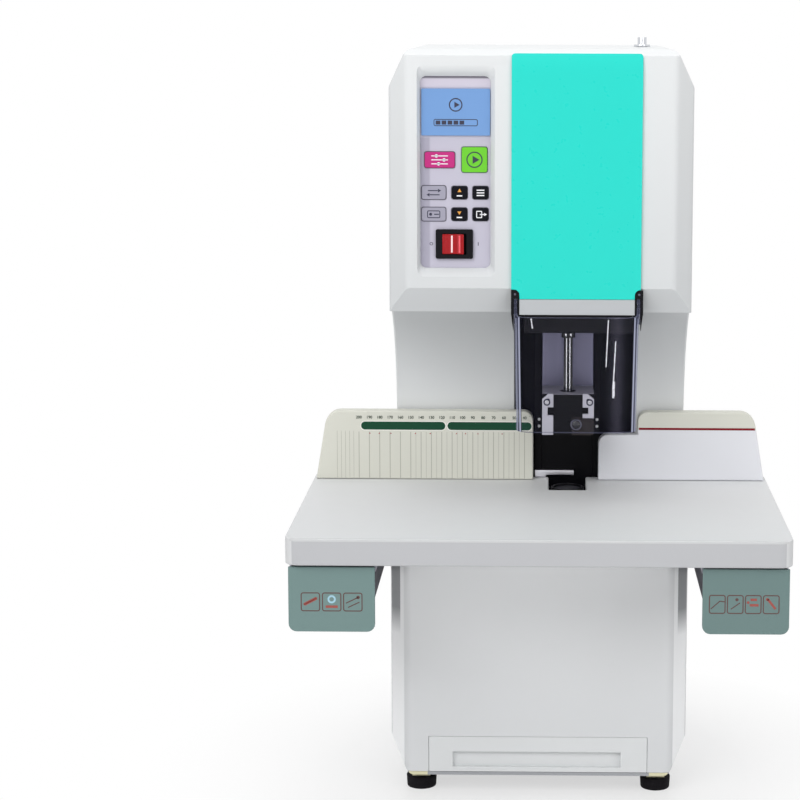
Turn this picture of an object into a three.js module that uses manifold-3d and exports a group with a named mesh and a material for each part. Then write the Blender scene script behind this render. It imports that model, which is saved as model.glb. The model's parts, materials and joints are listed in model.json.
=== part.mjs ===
// A desk riveting machine that drills a stack of paper and sets a tube rivet in the hole.
// Millimetres, X to the right, Y to the back, Z up. The origin is on the ground, midway between
// the table's front edge and the back of the body.

import * as THREE from "three";
import { mergeVertices } from "three/addons/utils/BufferGeometryUtils.js";
import Module from "manifold-3d";

const wasm = await Module();
wasm.setup();

// Fits that the whole machine shares.
const fit = {
  seat: 0.3, // between pieces that touch
  running: 0.5, // round a shaft or beside a slide
  overrun: 4, // how far a cut runs past what it cuts
};

// Sizes, one group for each piece or assembly.
const machine = { width: 438.7, depth: 430, height: 696.5 };
const sheet = { wall: 2.5, seam: 0.3 };
const rubberFoot = {
  radius: 14.4,
  height: 11.4,
  draft: 0.7,
  bossSide: 17,
  bossHeight: 7.6,
  fromSide: 28,
  fromEnd: 26,
};
const body = {
  width: 278,
  frontShare: 0.3442, // of the machine's depth, from the table's front edge to the body's
  frontChamfer: 17,
  cornerWidth: 17,
  cornerHeight: 35,
  cornerRound: 9,
  rearRound: 6,
};
const head = { heightShare: 0.345, topDrop: 6, chinRise: 23.8, frontCoverDepth: 37 };
const column = {
  frontShare: 0.6163, // of the machine's depth
  throatDepthShare: 1.282, // the throat arc's reach, of the depth from the body's front to the column
  throatTopShare: 0.8667, // of the arc's rise, where the head's underside cuts it
  straight: 47, // from the table up to where the arc begins
};
const table = { thickness: 24, heightShare: 0.4034, pastColumn: 7, cornerRound: 12 };
const notch = { width: 36, beforeColumn: 61, round: 1.5 };
const fence = {
  beforeColumn: 17,
  thickness: 13.6,
  height: 67.3,
  endSlope: 11,
  endInset: 2.85,
  endRound: 15,
  innerRound: 9,
  stepHeight: 44.9,
};
const drillAxis = { x: 26.4, beforeColumn: 43 };
const gap = { left: 33, right: 29.9, step: 67.8 };
const press = {
  clearance: 53,
  height: 39.4,
  width: 48.8,
  blockWidth: 27,
  noseDepth: 19,
  wingRecess: 4,
  topBore: 8,
  lowerBore: 4.8,
  lowerBoreLength: 12,
  stopAboveTable: 2,
};
const pressPlate = {
  thickness: 3.7,
  topHeight: 13,
  clipHeight: 5,
  clipWidth: 6,
  stemWidth: 5.2,
  leftPadHeight: 19,
  rightPadHeight: 4,
  rightPadLift: 15.2,
  screwHole: 2,
};
const lampHousing = {
  width: 24,
  height: 15,
  thickness: 3,
  round: 3,
  bossRadius: 4.5,
  bossRise: 2,
  bossLift: 1.7,
};
const pressSlide = {
  beforeColumn: 14,
  thickness: 8,
  topDrop: 17.6,
  carrierHeight: 26,
  carrierLift: 50,
  carrierDepth: 25,
};
const frame = {
  barThickness: 7,
  barDepth: 32,
  backThickness: 8,
  backLeft: 71,
  backRight: 71,
  armHeight: 45,
  armFront: 26,
  armDrop: 7,
  barBottom: 200,
  webThickness: 2,
  webRecess: 1.5,
  chipHole: 9,
};
const dieHolder = { radius: 15.8, topDrop: 0.6, padRadius: 13, padDepth: 6, padSink: 2.2 };
const backStop = { width: 38, depth: 5, height: 5, lift: 2.4, legWidth: 11, legHeight: 6.8 };
const casting = {
  thickness: 8,
  left: 86,
  right: 86,
  frontInset: 30,
  back: 90,
  noseDrop: 22,
  noseHalfWidth: 50.5,
  noseCentre: 35.5,
  noseInset: 34,
  noseBack: 27,
  noseBore: 8.5,
  lift: 4.5,
};
const spindle = { radius: 6, collarRadius: 6.5, collarHeight: 6, boreRadius: 2.5, boreStop: 4 };
const drillBit = { radius: 4.35, collarDrop: 9.6, tipInBlock: 4 };
const guideRod = { radius: 7, spacing: 45, behindColumn: 10, topGap: 54.7 };
const carriage = {
  thickness: 20,
  halfWidth: 62,
  front: 31,
  back: 17,
  rise: 83,
  bushRadius: 12,
  bushHeight: 29,
  nutRadius: 11,
  nutHeight: 14,
};
const drillMotor = { radius: 31, topGap: 7.5, capRadius: 22, capHeight: 5 };
const leadScrew = { radius: 5 };
const stepMotor = { side: 42, chamfer: 5, liftHeight: 40, pressHeight: 54 };
const topPlate = { thickness: 8, halfWidth: 62, halfDepth: 25 };
const windowCut = { left: 60.5, right: 56.5, bottom: 40, front: 24 };
const strip = {
  left: 26.7,
  right: 91.4,
  bottomRise: 14.3,
  topDrop: 3.9,
  thickness: 2.5,
  curveRise: 16,
  curveBack: 2,
  round: 3,
};
const hingeBlock = {
  height: 22.8,
  outerCheek: 2.4,
  innerCheek: 1.6,
  round: 5,
  pinRadius: 2,
  pinInset: 1,
  pinRise: 8,
};
const guard = {
  centre: 33.4,
  topWidth: 114.5,
  bottomWidth: 110.5,
  wall: 2.4,
  round: 16,
  beforeBody: 5.5,
  depthShare: 0.6533, // of the depth from the body's front to the column
  topDrop: 2.2,
  aboveTable: 66.3,
  earRadius: 6,
  rearClipRise: 30,
  rearClipDepth: 40,
};
const recess = {
  left: 112.2,
  right: 41.5,
  bottomRise: 34.2,
  topDrop: 14.6,
  depth: 8.7,
  slope: { left: 2.6, right: 4.4, bottom: 7.4, top: 10.2 }, // from its outline in to the panel's edge
  rings: [
    [1.2, 1.113],
    [0.4, 0.66],
    [-0.2, -0.33],
  ], // shares of the depth and of the slope, past the back and past the front
  round: 6,
  collar: 3.5,
};
const panelPlate = { thickness: 2.5, margin: 3 };
const screen = { x: -77.4, width: 62.4, height: 42.4, share: 0.2217, thickness: 1.4, round: 1 };
const key = { rise: 1.5, length: 5, round: 2 };
const keys = [
  { name: "preset_key", x: -92, share: 0.4473, width: 27.3, height: 14.3, colour: 0xd02f86 },
  { name: "start_key", x: -60.4, share: 0.4462, width: 23.1, height: 22.8, colour: 0x6fd62f },
  { name: "mode_key", x: -97.4, share: 0.6029, width: 21.9, height: 12.3, colour: 0x9a98a8 },
  { name: "up_key", x: -74, share: 0.6029, width: 14.1, height: 11.6, colour: 0x14141e },
  { name: "menu_key", x: -54.9, share: 0.6029, width: 14.1, height: 11.6, colour: 0x14141e },
  { name: "manual_key", x: -97.5, share: 0.7057, width: 21.9, height: 12.3, colour: 0x9a98a8 },
  { name: "down_key", x: -74.1, share: 0.7057, width: 14.1, height: 11.6, colour: 0x14141e },
  { name: "exit_key", x: -54.9, share: 0.7057, width: 14.1, height: 11.6, colour: 0x14141e },
];
const rocker = {
  x: -78.7,
  share: 0.8472,
  frameWidth: 34,
  frameHeight: 26.8,
  frameRise: 2.6,
  frameRound: 1.5,
  bodyDepth: 13,
  bodyMargin: 2.5,
  width: 21,
  height: 18.2,
  crown: 4.6,
  valley: 2.6,
  root: 7,
  tilt: 8,
};
const bin = {
  bodyGap: 2.5,
  height: 57.5,
  topGap: 2.4,
  sideInset: 2.85,
  tableInset: 6,
  frontThickness: 3,
  round: 7,
  trayInset: 5,
  trayDrop: 12.5,
  depthShare: 0.875, // of the depth from the table's front edge to the column
  wall: 2,
  flange: 3,
  flangeThickness: 2,
  flangeDrop: 5,
};
const runner = { plate: 1.6, wall: 1.4, lip: 2.4, pastBin: 5, fromFront: 12 };
const drawer = {
  left: 36.2, // from the body's side
  right: 37,
  top: 56.2,
  depth: 128,
  wall: 2.5,
  sideGap: 1.2,
  trayHeight: 26,
  gripLeft: 22.6, // from the drawer's side
  gripRight: 24.8,
  gripBottom: 26.9,
  gripTop: 41.5,
  gripDepth: 5,
};
const basePlate = { thickness: 3 };
const louvre = { width: 76, height: 4, pitch: 11, rows: 9, columns: 2, columnPitch: 104, rise: 43.8 };
const inlet = {
  x: -84,
  z: 66,
  flangeWidth: 50,
  flangeHeight: 27,
  flange: 1.5,
  width: 30,
  height: 22,
  depth: 24,
  mouthWidth: 25,
  mouthHeight: 17,
  mouthDepth: 19,
  pinWidth: 2,
  pinHeight: 4,
  pinLength: 12,
  pinSpread: 7,
  pinRise: 3,
  round: 3,
};
const supply = { width: 82, depth: 66, height: 64, windingWidth: 50, windingBulge: 8, x: -70, inletGap: 12 };
const board = {
  width: 110,
  height: 92,
  thickness: 1.8,
  standoff: 7,
  standoffRadius: 3,
  x: 46,
  rise: 19,
  margin: 7,
};
const chute = { side: 38, wall: 2, drawerGap: 4 };
const nozzle = {
  fromSide: 42.5,
  behindColumn: 35,
  radius: 4.4,
  bore: 3.1,
  height: 9,
  baseRadius: 8,
  baseHeight: 2,
  depth: 14,
};

// Colours and finishes of the materials.
const finishes = {
  shell: { color: 0xd8dadc, roughness: 0.45, metalness: 0 },
  ivory: { color: 0xcfcfc6, roughness: 0.5, metalness: 0 },
  teal: { color: 0x3ce4d2, roughness: 0.25, metalness: 0 },
  binPlastic: { color: 0x7a938e, roughness: 0.5, metalness: 0 },
  blackPaint: { color: 0x17171c, roughness: 0.4, metalness: 0.2 },
  blackPlastic: { color: 0x14141a, roughness: 0.5, metalness: 0 },
  steel: { color: 0xb9b8c2, roughness: 0.3, metalness: 1 },
  chrome: { color: 0xd6d8dc, roughness: 0.12, metalness: 1 },
  castMetal: { color: 0x2a2a30, roughness: 0.55, metalness: 0.6 },
  panel: { color: 0xdcdbe2, roughness: 0.4, metalness: 0 },
  lcd: { color: 0x84ade8, roughness: 0.15, metalness: 0 },
  red: { color: 0xc8141e, roughness: 0.3, metalness: 0 },
  rubber: { color: 0x1a1622, roughness: 0.85, metalness: 0 },
  nylon: { color: 0x26262b, roughness: 0.6, metalness: 0 },
  clear: { color: 0xbfc6d2, roughness: 0.05, metalness: 0, transparent: true, opacity: 0.3 },
  copper: { color: 0xb5713a, roughness: 0.45, metalness: 0.7 },
  circuit: { color: 0x1f5b3a, roughness: 0.5, metalness: 0 },
};

// Planes and places that several pieces share.
const frontY = -machine.depth / 2;
const bodyFront = frontY + machine.depth * body.frontShare;
const bodyRear = machine.depth / 2 - inlet.flange;
const bodyBottom = rubberFoot.height + rubberFoot.bossHeight;
const headTop = machine.height;
const headBottom = headTop - machine.height * head.heightShare;
const columnFront = frontY + machine.depth * column.frontShare;
const tableTop = machine.height * table.heightShare;
const tableBottom = tableTop - table.thickness;
const fenceFront = columnFront - fence.beforeColumn;
const throatRadius = (columnFront - bodyFront) * column.throatDepthShare;
const throatCentre = { y: columnFront - throatRadius, z: tableTop + column.straight };
const throatRise = (headBottom - throatCentre.z) / column.throatTopShare;
const half = body.width / 2;
const drillX = drillAxis.x;
const drillY = columnFront - drillAxis.beforeColumn;
const drillPlace = [drillX, drillY];

const machineGroup = new THREE.Group();
machineGroup.name = "document_riveting_machine";

// Solids from three.js geometries, and back.

function solid(geometry) {
  const plain = geometry.clone();
  plain.deleteAttribute("normal");
  plain.deleteAttribute("uv");
  const merged = mergeVertices(plain, 1e-4);
  return new wasm.Manifold(
    new wasm.Mesh({
      numProp: 3,
      vertProperties: new Float32Array(merged.attributes.position.array),
      triVerts: new Uint32Array(merged.index.array),
    }),
  );
}

function geometryOf(shape) {
  const mesh = shape.getMesh();
  const geometry = new THREE.BufferGeometry();
  geometry.setAttribute("position", new THREE.BufferAttribute(mesh.vertProperties, mesh.numProp));
  geometry.setIndex(new THREE.BufferAttribute(mesh.triVerts, 1));
  const faceted = geometry.toNonIndexed();
  faceted.computeVertexNormals();
  return faceted;
}

const join = (...shapes) => shapes.reduce((whole, next) => whole.add(next));
const cut = (from, ...tools) => tools.reduce((left, tool) => left.subtract(tool), from);
const common = (...shapes) => shapes.reduce((whole, next) => whole.intersect(next));

function addMesh(name, shape, finish, parent = machineGroup) {
  const mesh = new THREE.Mesh(geometryOf(shape), new THREE.MeshStandardMaterial(finish));
  mesh.name = name;
  parent.add(mesh);
  return mesh;
}

// A box given by its span along each axis. Its corners lie exactly on the given values, so boxes
// that share a face plane join without a step.
function block([x0, x1], [y0, y1], [z0, z1]) {
  const geometry = new THREE.BoxGeometry();
  const corner = geometry.attributes.position;
  for (let i = 0; i < corner.count; i += 1) {
    const x = corner.getX(i) < 0 ? x0 : x1;
    const y = corner.getY(i) < 0 ? y0 : y1;
    const z = corner.getZ(i) < 0 ? z0 : z1;
    corner.setXYZ(i, x, y, z);
  }
  return solid(geometry);
}

const around = (centre, size) => [centre - size / 2, centre + size / 2];
const past = ([low, high]) => [low - fit.overrun, high + fit.overrun];

// An outline with rounded corners. Each corner is [u, v] or [u, v, radius].
function outline(corners, steps = 5) {
  const points = [];
  corners.forEach(([u, v, radius = 0], i) => {
    const corner = new THREE.Vector2(u, v);
    if (radius === 0) {
      points.push(corner);
      return;
    }
    const [before, after] = [corners.at(i - 1), corners[(i + 1) % corners.length]];
    const towardsBefore = new THREE.Vector2(before[0], before[1]).sub(corner).normalize();
    const towardsAfter = new THREE.Vector2(after[0], after[1]).sub(corner).normalize();
    const halfAngle = Math.acos(towardsBefore.dot(towardsAfter)) / 2;
    const centre = towardsBefore.clone().add(towardsAfter).normalize();
    centre.multiplyScalar(radius / Math.sin(halfAngle)).add(corner);
    const start = towardsBefore.multiplyScalar(radius / Math.tan(halfAngle)).add(corner).sub(centre);
    const end = towardsAfter.multiplyScalar(radius / Math.tan(halfAngle)).add(corner).sub(centre);
    let sweep = end.angle() - start.angle();
    sweep -= Math.round(sweep / (2 * Math.PI)) * 2 * Math.PI;
    for (let step = 0; step <= steps; step += 1) {
      const angle = start.angle() + (sweep * step) / steps;
      points.push(new THREE.Vector2(Math.cos(angle), Math.sin(angle)).multiplyScalar(radius).add(centre));
    }
  });
  return new THREE.Shape(points);
}

const rectangle = ([u0, u1], [v0, v1], radius = 0) =>
  outline([
    [u0, v0, radius],
    [u1, v0, radius],
    [u1, v1, radius],
    [u0, v1, radius],
  ]);

// Outlines drawn in (Y, Z), (X, Z) and (X, Y), pushed along the axis that is left.
function alongX(shape, [from, to]) {
  const geometry = new THREE.ExtrudeGeometry(shape, { depth: to - from, bevelEnabled: false });
  geometry.applyMatrix4(
    new THREE.Matrix4().makeBasis(
      new THREE.Vector3(0, 1, 0),
      new THREE.Vector3(0, 0, 1),
      new THREE.Vector3(1, 0, 0),
    ),
  );
  geometry.translate(from, 0, 0);
  return solid(geometry);
}

function alongY(shape, [from, to]) {
  const geometry = new THREE.ExtrudeGeometry(shape, { depth: to - from, bevelEnabled: false });
  geometry.rotateX(Math.PI / 2);
  geometry.translate(0, to, 0);
  return solid(geometry);
}

function alongZ(shape, [from, to]) {
  const geometry = new THREE.ExtrudeGeometry(shape, { depth: to - from, bevelEnabled: false });
  geometry.translate(0, 0, from);
  return solid(geometry);
}

// Round bars, upright or lying along X or Y, with an optional second radius at the far end.
function upright(radius, [x, y], [from, to], farRadius = radius, sides = 32) {
  const geometry = new THREE.CylinderGeometry(farRadius, radius, to - from, sides);
  geometry.rotateX(Math.PI / 2);
  geometry.translate(x, y, (from + to) / 2);
  return solid(geometry);
}

function lyingX(radius, [y, z], [from, to], sides = 20) {
  const geometry = new THREE.CylinderGeometry(radius, radius, to - from, sides);
  geometry.rotateZ(Math.PI / 2);
  geometry.translate((from + to) / 2, y, z);
  return solid(geometry);
}

function lyingY(radius, [x, z], [from, to], sides = 24) {
  const geometry = new THREE.CylinderGeometry(radius, radius, to - from, sides);
  geometry.translate(x, (from + to) / 2, z);
  return solid(geometry);
}

// The body's outer form, or its inner form at a wall's inset, where three outlines cross.

const cornerShare = 0.6; // how much less a chamfer is, for each unit that its outline moves in

function frontForm(inset) {
  const x = half - inset;
  const [low, high] = [bodyBottom + inset, headTop - inset];
  const cutX = body.cornerWidth - inset * cornerShare;
  const cutZ = body.cornerHeight - inset * cornerShare;
  const round = body.cornerRound;
  const right = [
    [x - cutX, low, round],
    [x, low + cutZ, round],
    [x, high - cutZ, round],
    [x - cutX, high, round],
  ];
  const left = right.map(([u, v, radius]) => [-u, v, radius]).reverse();
  return alongY(outline([...right, ...left], 3), past([bodyFront, bodyRear]));
}

function planForm(inset) {
  const x = half - inset;
  const [front, rear] = [bodyFront + inset, bodyRear - inset];
  const chamfer = body.frontChamfer - inset * cornerShare;
  return alongZ(
    outline(
      [
        [-x, front + chamfer, body.cornerRound],
        [chamfer - x, front, body.cornerRound],
        [x - chamfer, front, body.cornerRound],
        [x, front + chamfer, body.cornerRound],
        [x, rear, body.rearRound],
        [-x, rear, body.rearRound],
      ],
      3,
    ),
    past([bodyBottom, headTop]),
  );
}

function sideForm(inset) {
  const [front, rear] = [bodyFront + inset, bodyRear - inset];
  const chamferEnd = bodyFront + body.frontChamfer;
  const throatSteps = 12;
  const [reach, rise] = [throatRadius + inset, throatRise + inset];
  const topAngle = Math.asin((headBottom + inset - throatCentre.z) / rise);
  const throat = [];
  for (let step = 0; step <= throatSteps; step += 1) {
    const angle = (topAngle * step) / throatSteps;
    throat.push([throatCentre.y + reach * Math.cos(angle), throatCentre.z + rise * Math.sin(angle)]);
  }
  const profile = [
    [front, bodyBottom + inset],
    [front, tableBottom - sheet.seam - inset],
    [columnFront + inset, tableBottom - sheet.seam - inset],
    ...throat,
    [chamferEnd, headBottom + inset],
    [front, headBottom + head.chinRise],
    [front, headTop - head.topDrop],
    [chamferEnd, headTop - inset],
    [rear, headTop - inset],
    [rear, bodyBottom + inset],
  ];
  return alongX(outline(profile.reverse()), past([-half, half]));
}

const bodyForm = (inset) => common(sideForm(inset), frontForm(inset), planForm(inset));
const shell = cut(bodyForm(0), bodyForm(sheet.wall));

const wholeX = past([-half, half]);
const wholeY = past([bodyFront, bodyRear]);
const wholeZ = past([bodyBottom, headTop]);
const coverSplit = bodyFront + head.frontCoverDepth;
const drawerX = [drawer.left - half, half - drawer.right];
const hingeTop = headBottom + hingeBlock.height;
// Half spans about the guard's centre: the slot for the guard's ear, and the hinge block round it.
const guardTopHalf = guard.topWidth / 2;
const earSlot = [guardTopHalf - guard.wall - fit.running, guardTopHalf + fit.running];
const hingeSpan = [earSlot[0] - hingeBlock.innerCheek, earSlot[1] + hingeBlock.outerCheek];
const chinX = around(guard.centre, 2 * (hingeSpan[0] - sheet.seam));
const rearSplit = bodyRear - body.rearRound - sheet.wall;
const windowX = [casting.noseCentre - windowCut.left, casting.noseCentre + windowCut.right];
const barOuter = press.width / 2 + fit.running + frame.barThickness;
const slotX = around(drillX, 2 * (barOuter + 2 * fit.running));
const baseTop = bodyBottom + basePlate.thickness;
const stripZ = [headBottom + strip.bottomRise, headTop - strip.topDrop];
const recessZ = [headBottom + recess.bottomRise, headTop - recess.topDrop];
const recessX = [-recess.left, -recess.right];
const atShare = (share) => recessZ[1] - (recessZ[1] - recessZ[0]) * share;
const nozzlePlace = [half - nozzle.fromSide, columnFront + nozzle.behindColumn];

// Base, feet and the covers of the body.

const footX = half - rubberFoot.fromSide;
const footPlaces = {
  front_left: [-footX, bodyFront + rubberFoot.fromEnd],
  front_right: [footX, bodyFront + rubberFoot.fromEnd],
  rear_left: [-footX, bodyRear - rubberFoot.fromEnd],
  rear_right: [footX, bodyRear - rubberFoot.fromEnd],
};

function makeBasePlate() {
  const slice = block(wholeX, wholeY, [bodyBottom, baseTop]);
  const bosses = Object.values(footPlaces).map(([x, y]) =>
    block(around(x, rubberFoot.bossSide), around(y, rubberFoot.bossSide), [
      rubberFoot.height + fit.seat,
      baseTop,
    ]),
  );
  addMesh("base_plate", join(common(bodyForm(0), slice), ...bosses), finishes.shell);
}

function makeFeet() {
  const pad = upright(
    rubberFoot.radius - rubberFoot.draft,
    [0, 0],
    [0, rubberFoot.height],
    rubberFoot.radius,
  );
  for (const [corner, [x, y]] of Object.entries(footPlaces)) {
    const foot = addMesh(`rubber_foot_${corner}`, pad, finishes.rubber);
    foot.position.set(x, y, 0);
  }
}

function makeLowerCover() {
  const below = block(wholeX, [wholeY[0], rearSplit - sheet.seam], [baseTop + sheet.seam, tableBottom]);
  const drawerHole = block(
    [drawerX[0] - sheet.seam, drawerX[1] + sheet.seam],
    past([bodyFront, bodyFront + sheet.wall]),
    [bodyBottom, drawer.top + sheet.seam],
  );
  const armHoleY = [drillY - frame.armFront, columnFront + fit.overrun];
  const armHole = block(slotX, armHoleY, past([tableBottom - sheet.wall, tableBottom]));
  addMesh("lower_cover", cut(common(shell, below), drawerHole, armHole), finishes.shell);
}

function makeUpperCovers() {
  const above = block(wholeX, [wholeY[0], rearSplit - sheet.seam], [tableBottom, wholeZ[1]]);
  const windowUpper = block(
    windowX,
    [bodyFront + windowCut.front, columnFront + fit.overrun],
    [tableTop + windowCut.bottom, headBottom + casting.lift],
  );
  const windowLower = block(slotX, past([columnFront, columnFront + sheet.wall]), [
    tableBottom - fit.overrun,
    tableTop + windowCut.bottom + fit.overrun,
  ]);
  const nozzleHole = upright(
    nozzle.radius + fit.running,
    nozzlePlace,
    past([headTop - sheet.wall, headTop]),
  );
  const open = cut(common(shell, above), windowUpper, windowLower, nozzleHole);
  const frontSide = block(wholeX, [wholeY[0], coverSplit], wholeZ);
  const rearSide = block(wholeX, [coverSplit + sheet.seam, wholeY[1]], wholeZ);
  addMesh("body_cover", common(open, rearSide), finishes.shell);
  makeHeadFrontCover(common(open, frontSide));
}

// The recess for the controls, which narrows ring by ring from the front to the panel.
function recessOpening() {
  const opening = new THREE.ExtrudeGeometry(rectangle(recessX, recessZ, recess.round), {
    depth: recess.rings.length - 1,
    steps: recess.rings.length - 1,
    bevelEnabled: false,
  });
  const corner = opening.attributes.position;
  const { left, right, bottom, top } = recess.slope;
  const inwards = (value, [low, high], lowSlope, highSlope) =>
    THREE.MathUtils.mapLinear(value, low, high, low + lowSlope, high - highSlope);
  for (let i = 0; i < corner.count; i += 1) {
    const [depthShare, slopeShare] = recess.rings[Math.round(corner.getZ(i))];
    const x = inwards(corner.getX(i), recessX, left * slopeShare, right * slopeShare);
    const z = inwards(corner.getY(i), recessZ, bottom * slopeShare, top * slopeShare);
    corner.setXYZ(i, x, bodyFront + recess.depth * depthShare, z);
  }
  return solid(opening);
}

function makeHeadFrontCover(frontShell) {
  const chinBlock = block(
    chinX,
    [bodyFront - strip.thickness - sheet.seam, bodyFront + body.frontChamfer],
    [headBottom, stripZ[0] - sheet.seam],
  );
  const [inX, inZ] = [recessX, recessZ].map(([low, high]) => [low - recess.collar, high + recess.collar]);
  const collar = alongY(rectangle(inX, inZ, recess.round), [
    bodyFront + sheet.wall / 2,
    bodyFront + recess.depth,
  ]);
  const cover = cut(join(frontShell, chinBlock, collar), recessOpening());
  addMesh("head_front_cover", cover, finishes.shell);
}

function makeRearCover() {
  const slice = block(wholeX, [rearSplit, wholeY[1]], [baseTop + sheet.seam, wholeZ[1]]);
  let cover = common(shell, slice);
  const slots = [];
  for (let row = 0; row < louvre.rows; row += 1) {
    for (let side = 0; side < louvre.columns; side += 1) {
      const x = (side - (louvre.columns - 1) / 2) * louvre.columnPitch;
      const z = headBottom + louvre.rise + row * louvre.pitch;
      slots.push(
        alongY(
          rectangle(around(x, louvre.width), around(z, louvre.height), louvre.height / 2 - fit.seat),
          past([bodyRear - sheet.wall, bodyRear]),
        ),
      );
    }
  }
  const inletHole = block(
    around(inlet.x, inlet.width + 2 * fit.running),
    past([bodyRear - sheet.wall, bodyRear]),
    around(inlet.z, inlet.height + 2 * fit.running),
  );
  cover = cut(cover, ...slots, inletHole);
  addMesh("rear_cover", cover, finishes.shell);
}

function makePowerInlet() {
  const rim = alongY(
    rectangle(around(inlet.x, inlet.flangeWidth), around(inlet.z, inlet.flangeHeight), inlet.round),
    [bodyRear + sheet.seam, bodyRear + inlet.flange],
  );
  const housing = block(
    around(inlet.x, inlet.width),
    [bodyRear - inlet.depth, bodyRear + inlet.flange],
    around(inlet.z, inlet.height),
  );
  const mouthEnd = bodyRear + inlet.flange - inlet.mouthDepth;
  const mouth = alongY(
    rectangle(around(inlet.x, inlet.mouthWidth), around(inlet.z, inlet.mouthHeight), inlet.round),
    [mouthEnd, bodyRear + fit.overrun],
  );
  const pins = [-inlet.pinSpread, 0, inlet.pinSpread].map((side) =>
    block(
      around(inlet.x + side, inlet.pinWidth),
      [mouthEnd - sheet.wall, mouthEnd + inlet.pinLength],
      around(inlet.z + (side === 0 ? inlet.pinRise : -inlet.pinRise), inlet.pinHeight),
    ),
  );
  addMesh("power_inlet", join(cut(join(rim, housing), mouth), ...pins), finishes.blackPlastic);
}

// The table, its fences and the storage bins under it.

function makeTable() {
  const rear = columnFront + table.pastColumn;
  const side = machine.width / 2;
  const bodySide = half + fit.seat;
  const plan = outline([
    [-side, frontY, table.cornerRound],
    [side, frontY, table.cornerRound],
    [side, rear],
    [bodySide, rear],
    [bodySide, columnFront - fit.seat],
    [-bodySide, columnFront - fit.seat],
    [-bodySide, rear],
    [-side, rear],
  ]);
  const notchFront = columnFront - notch.beforeColumn;
  const slot = alongZ(
    outline([
      [drillX - notch.width / 2, notchFront, notch.round],
      [drillX + notch.width / 2, notchFront, notch.round],
      [drillX + notch.width / 2, columnFront + fit.overrun],
      [drillX - notch.width / 2, columnFront + fit.overrun],
    ]),
    past([tableBottom, tableTop]),
  );
  addMesh("table_top", cut(alongZ(plan, [tableBottom, tableTop]), slot), finishes.shell);
}

function makeFences() {
  const foot = tableTop + fit.seat;
  const top = tableTop + fence.height;
  const end = machine.width / 2 - fence.endInset;
  const span = [fenceFront, fenceFront + fence.thickness];
  const left = outline([
    [-end, foot],
    [drillX - gap.left, foot],
    [drillX - gap.left, top, fence.innerRound],
    [fence.endSlope - end, top, fence.endRound],
  ]);
  const right = outline([
    [drillX + gap.right, foot],
    [end, foot],
    [end - fence.endSlope, top, fence.endRound],
    [drillX + gap.step, top, fence.innerRound],
    [drillX + gap.step, tableTop + fence.stepHeight],
    [drillX + gap.right, tableTop + fence.stepHeight, fence.innerRound],
  ]);
  addMesh("fence_left", alongY(left, span), finishes.ivory);
  addMesh("fence_right", alongY(right, span), finishes.ivory);
}

// A bin is made for the left side, and the right one is its mirror image.
const binOuter = -machine.width / 2 + bin.sideInset;
const binX = [binOuter, -half - bin.bodyGap];
const binTop = tableBottom - bin.topGap;
const binFront = frontY + bin.tableInset;
const binBack = binFront + (columnFront - frontY) * bin.depthShare;
const trayX = [binX[0] + bin.trayInset, binX[1] - bin.trayInset];
const trayTop = binTop - bin.flangeDrop + bin.flangeThickness;
const flangeZ = [trayTop - bin.flangeThickness, trayTop];
const flangeX = [trayX[0] - bin.flange, trayX[1] + bin.flange];
const mirrored = (shape) => shape.mirror([1, 0, 0]);

function makeBins() {
  const panel = alongY(
    outline([
      [binX[0], binTop - bin.height, bin.round],
      [binX[1], binTop - bin.height, bin.round],
      [binX[1], binTop],
      [binX[0], binTop],
    ]),
    [binFront, binFront + bin.frontThickness],
  );
  const trayBottom = binTop - bin.height + bin.trayDrop;
  const tray = cut(
    block(trayX, [binFront + bin.frontThickness - fit.seat, binBack], [trayBottom, trayTop]),
    block(
      [trayX[0] + bin.wall, trayX[1] - bin.wall],
      [binFront + bin.frontThickness, binBack - bin.wall],
      [trayBottom + bin.wall, trayTop + fit.overrun],
    ),
  );
  const flangeY = [binFront + runner.fromFront, binBack];
  const flanges = [
    block([flangeX[0], trayX[0] + bin.wall], flangeY, flangeZ),
    block([trayX[1] - bin.wall, flangeX[1]], flangeY, flangeZ),
  ];
  const left = join(panel, tray, ...flanges);
  addMesh("storage_bin_left", left, finishes.binPlastic);
  addMesh("storage_bin_right", mirrored(left), finishes.binPlastic);
}

function makeRunners() {
  const y = [binFront + runner.fromFront, binBack + runner.pastBin];
  const outerX = [flangeX[0] - fit.running - runner.wall, flangeX[1] + fit.running + runner.wall];
  const top = tableBottom - fit.seat;
  const lipZ = [flangeZ[0] - fit.seat - runner.wall, flangeZ[0] - fit.seat];
  const plate = block(outerX, y, [top - runner.plate, top]);
  const sides = [
    block([outerX[0], outerX[0] + runner.wall], y, [lipZ[0], top]),
    block([outerX[1] - runner.wall, outerX[1]], y, [lipZ[0], top]),
  ];
  const lips = [
    block([outerX[0], outerX[0] + runner.wall + runner.lip], y, lipZ),
    block([outerX[1] - runner.wall - runner.lip, outerX[1]], y, lipZ),
  ];
  const left = join(plate, ...sides, ...lips);
  addMesh("bin_runner_left", left, finishes.steel);
  addMesh("bin_runner_right", mirrored(left), finishes.steel);
}

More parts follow.
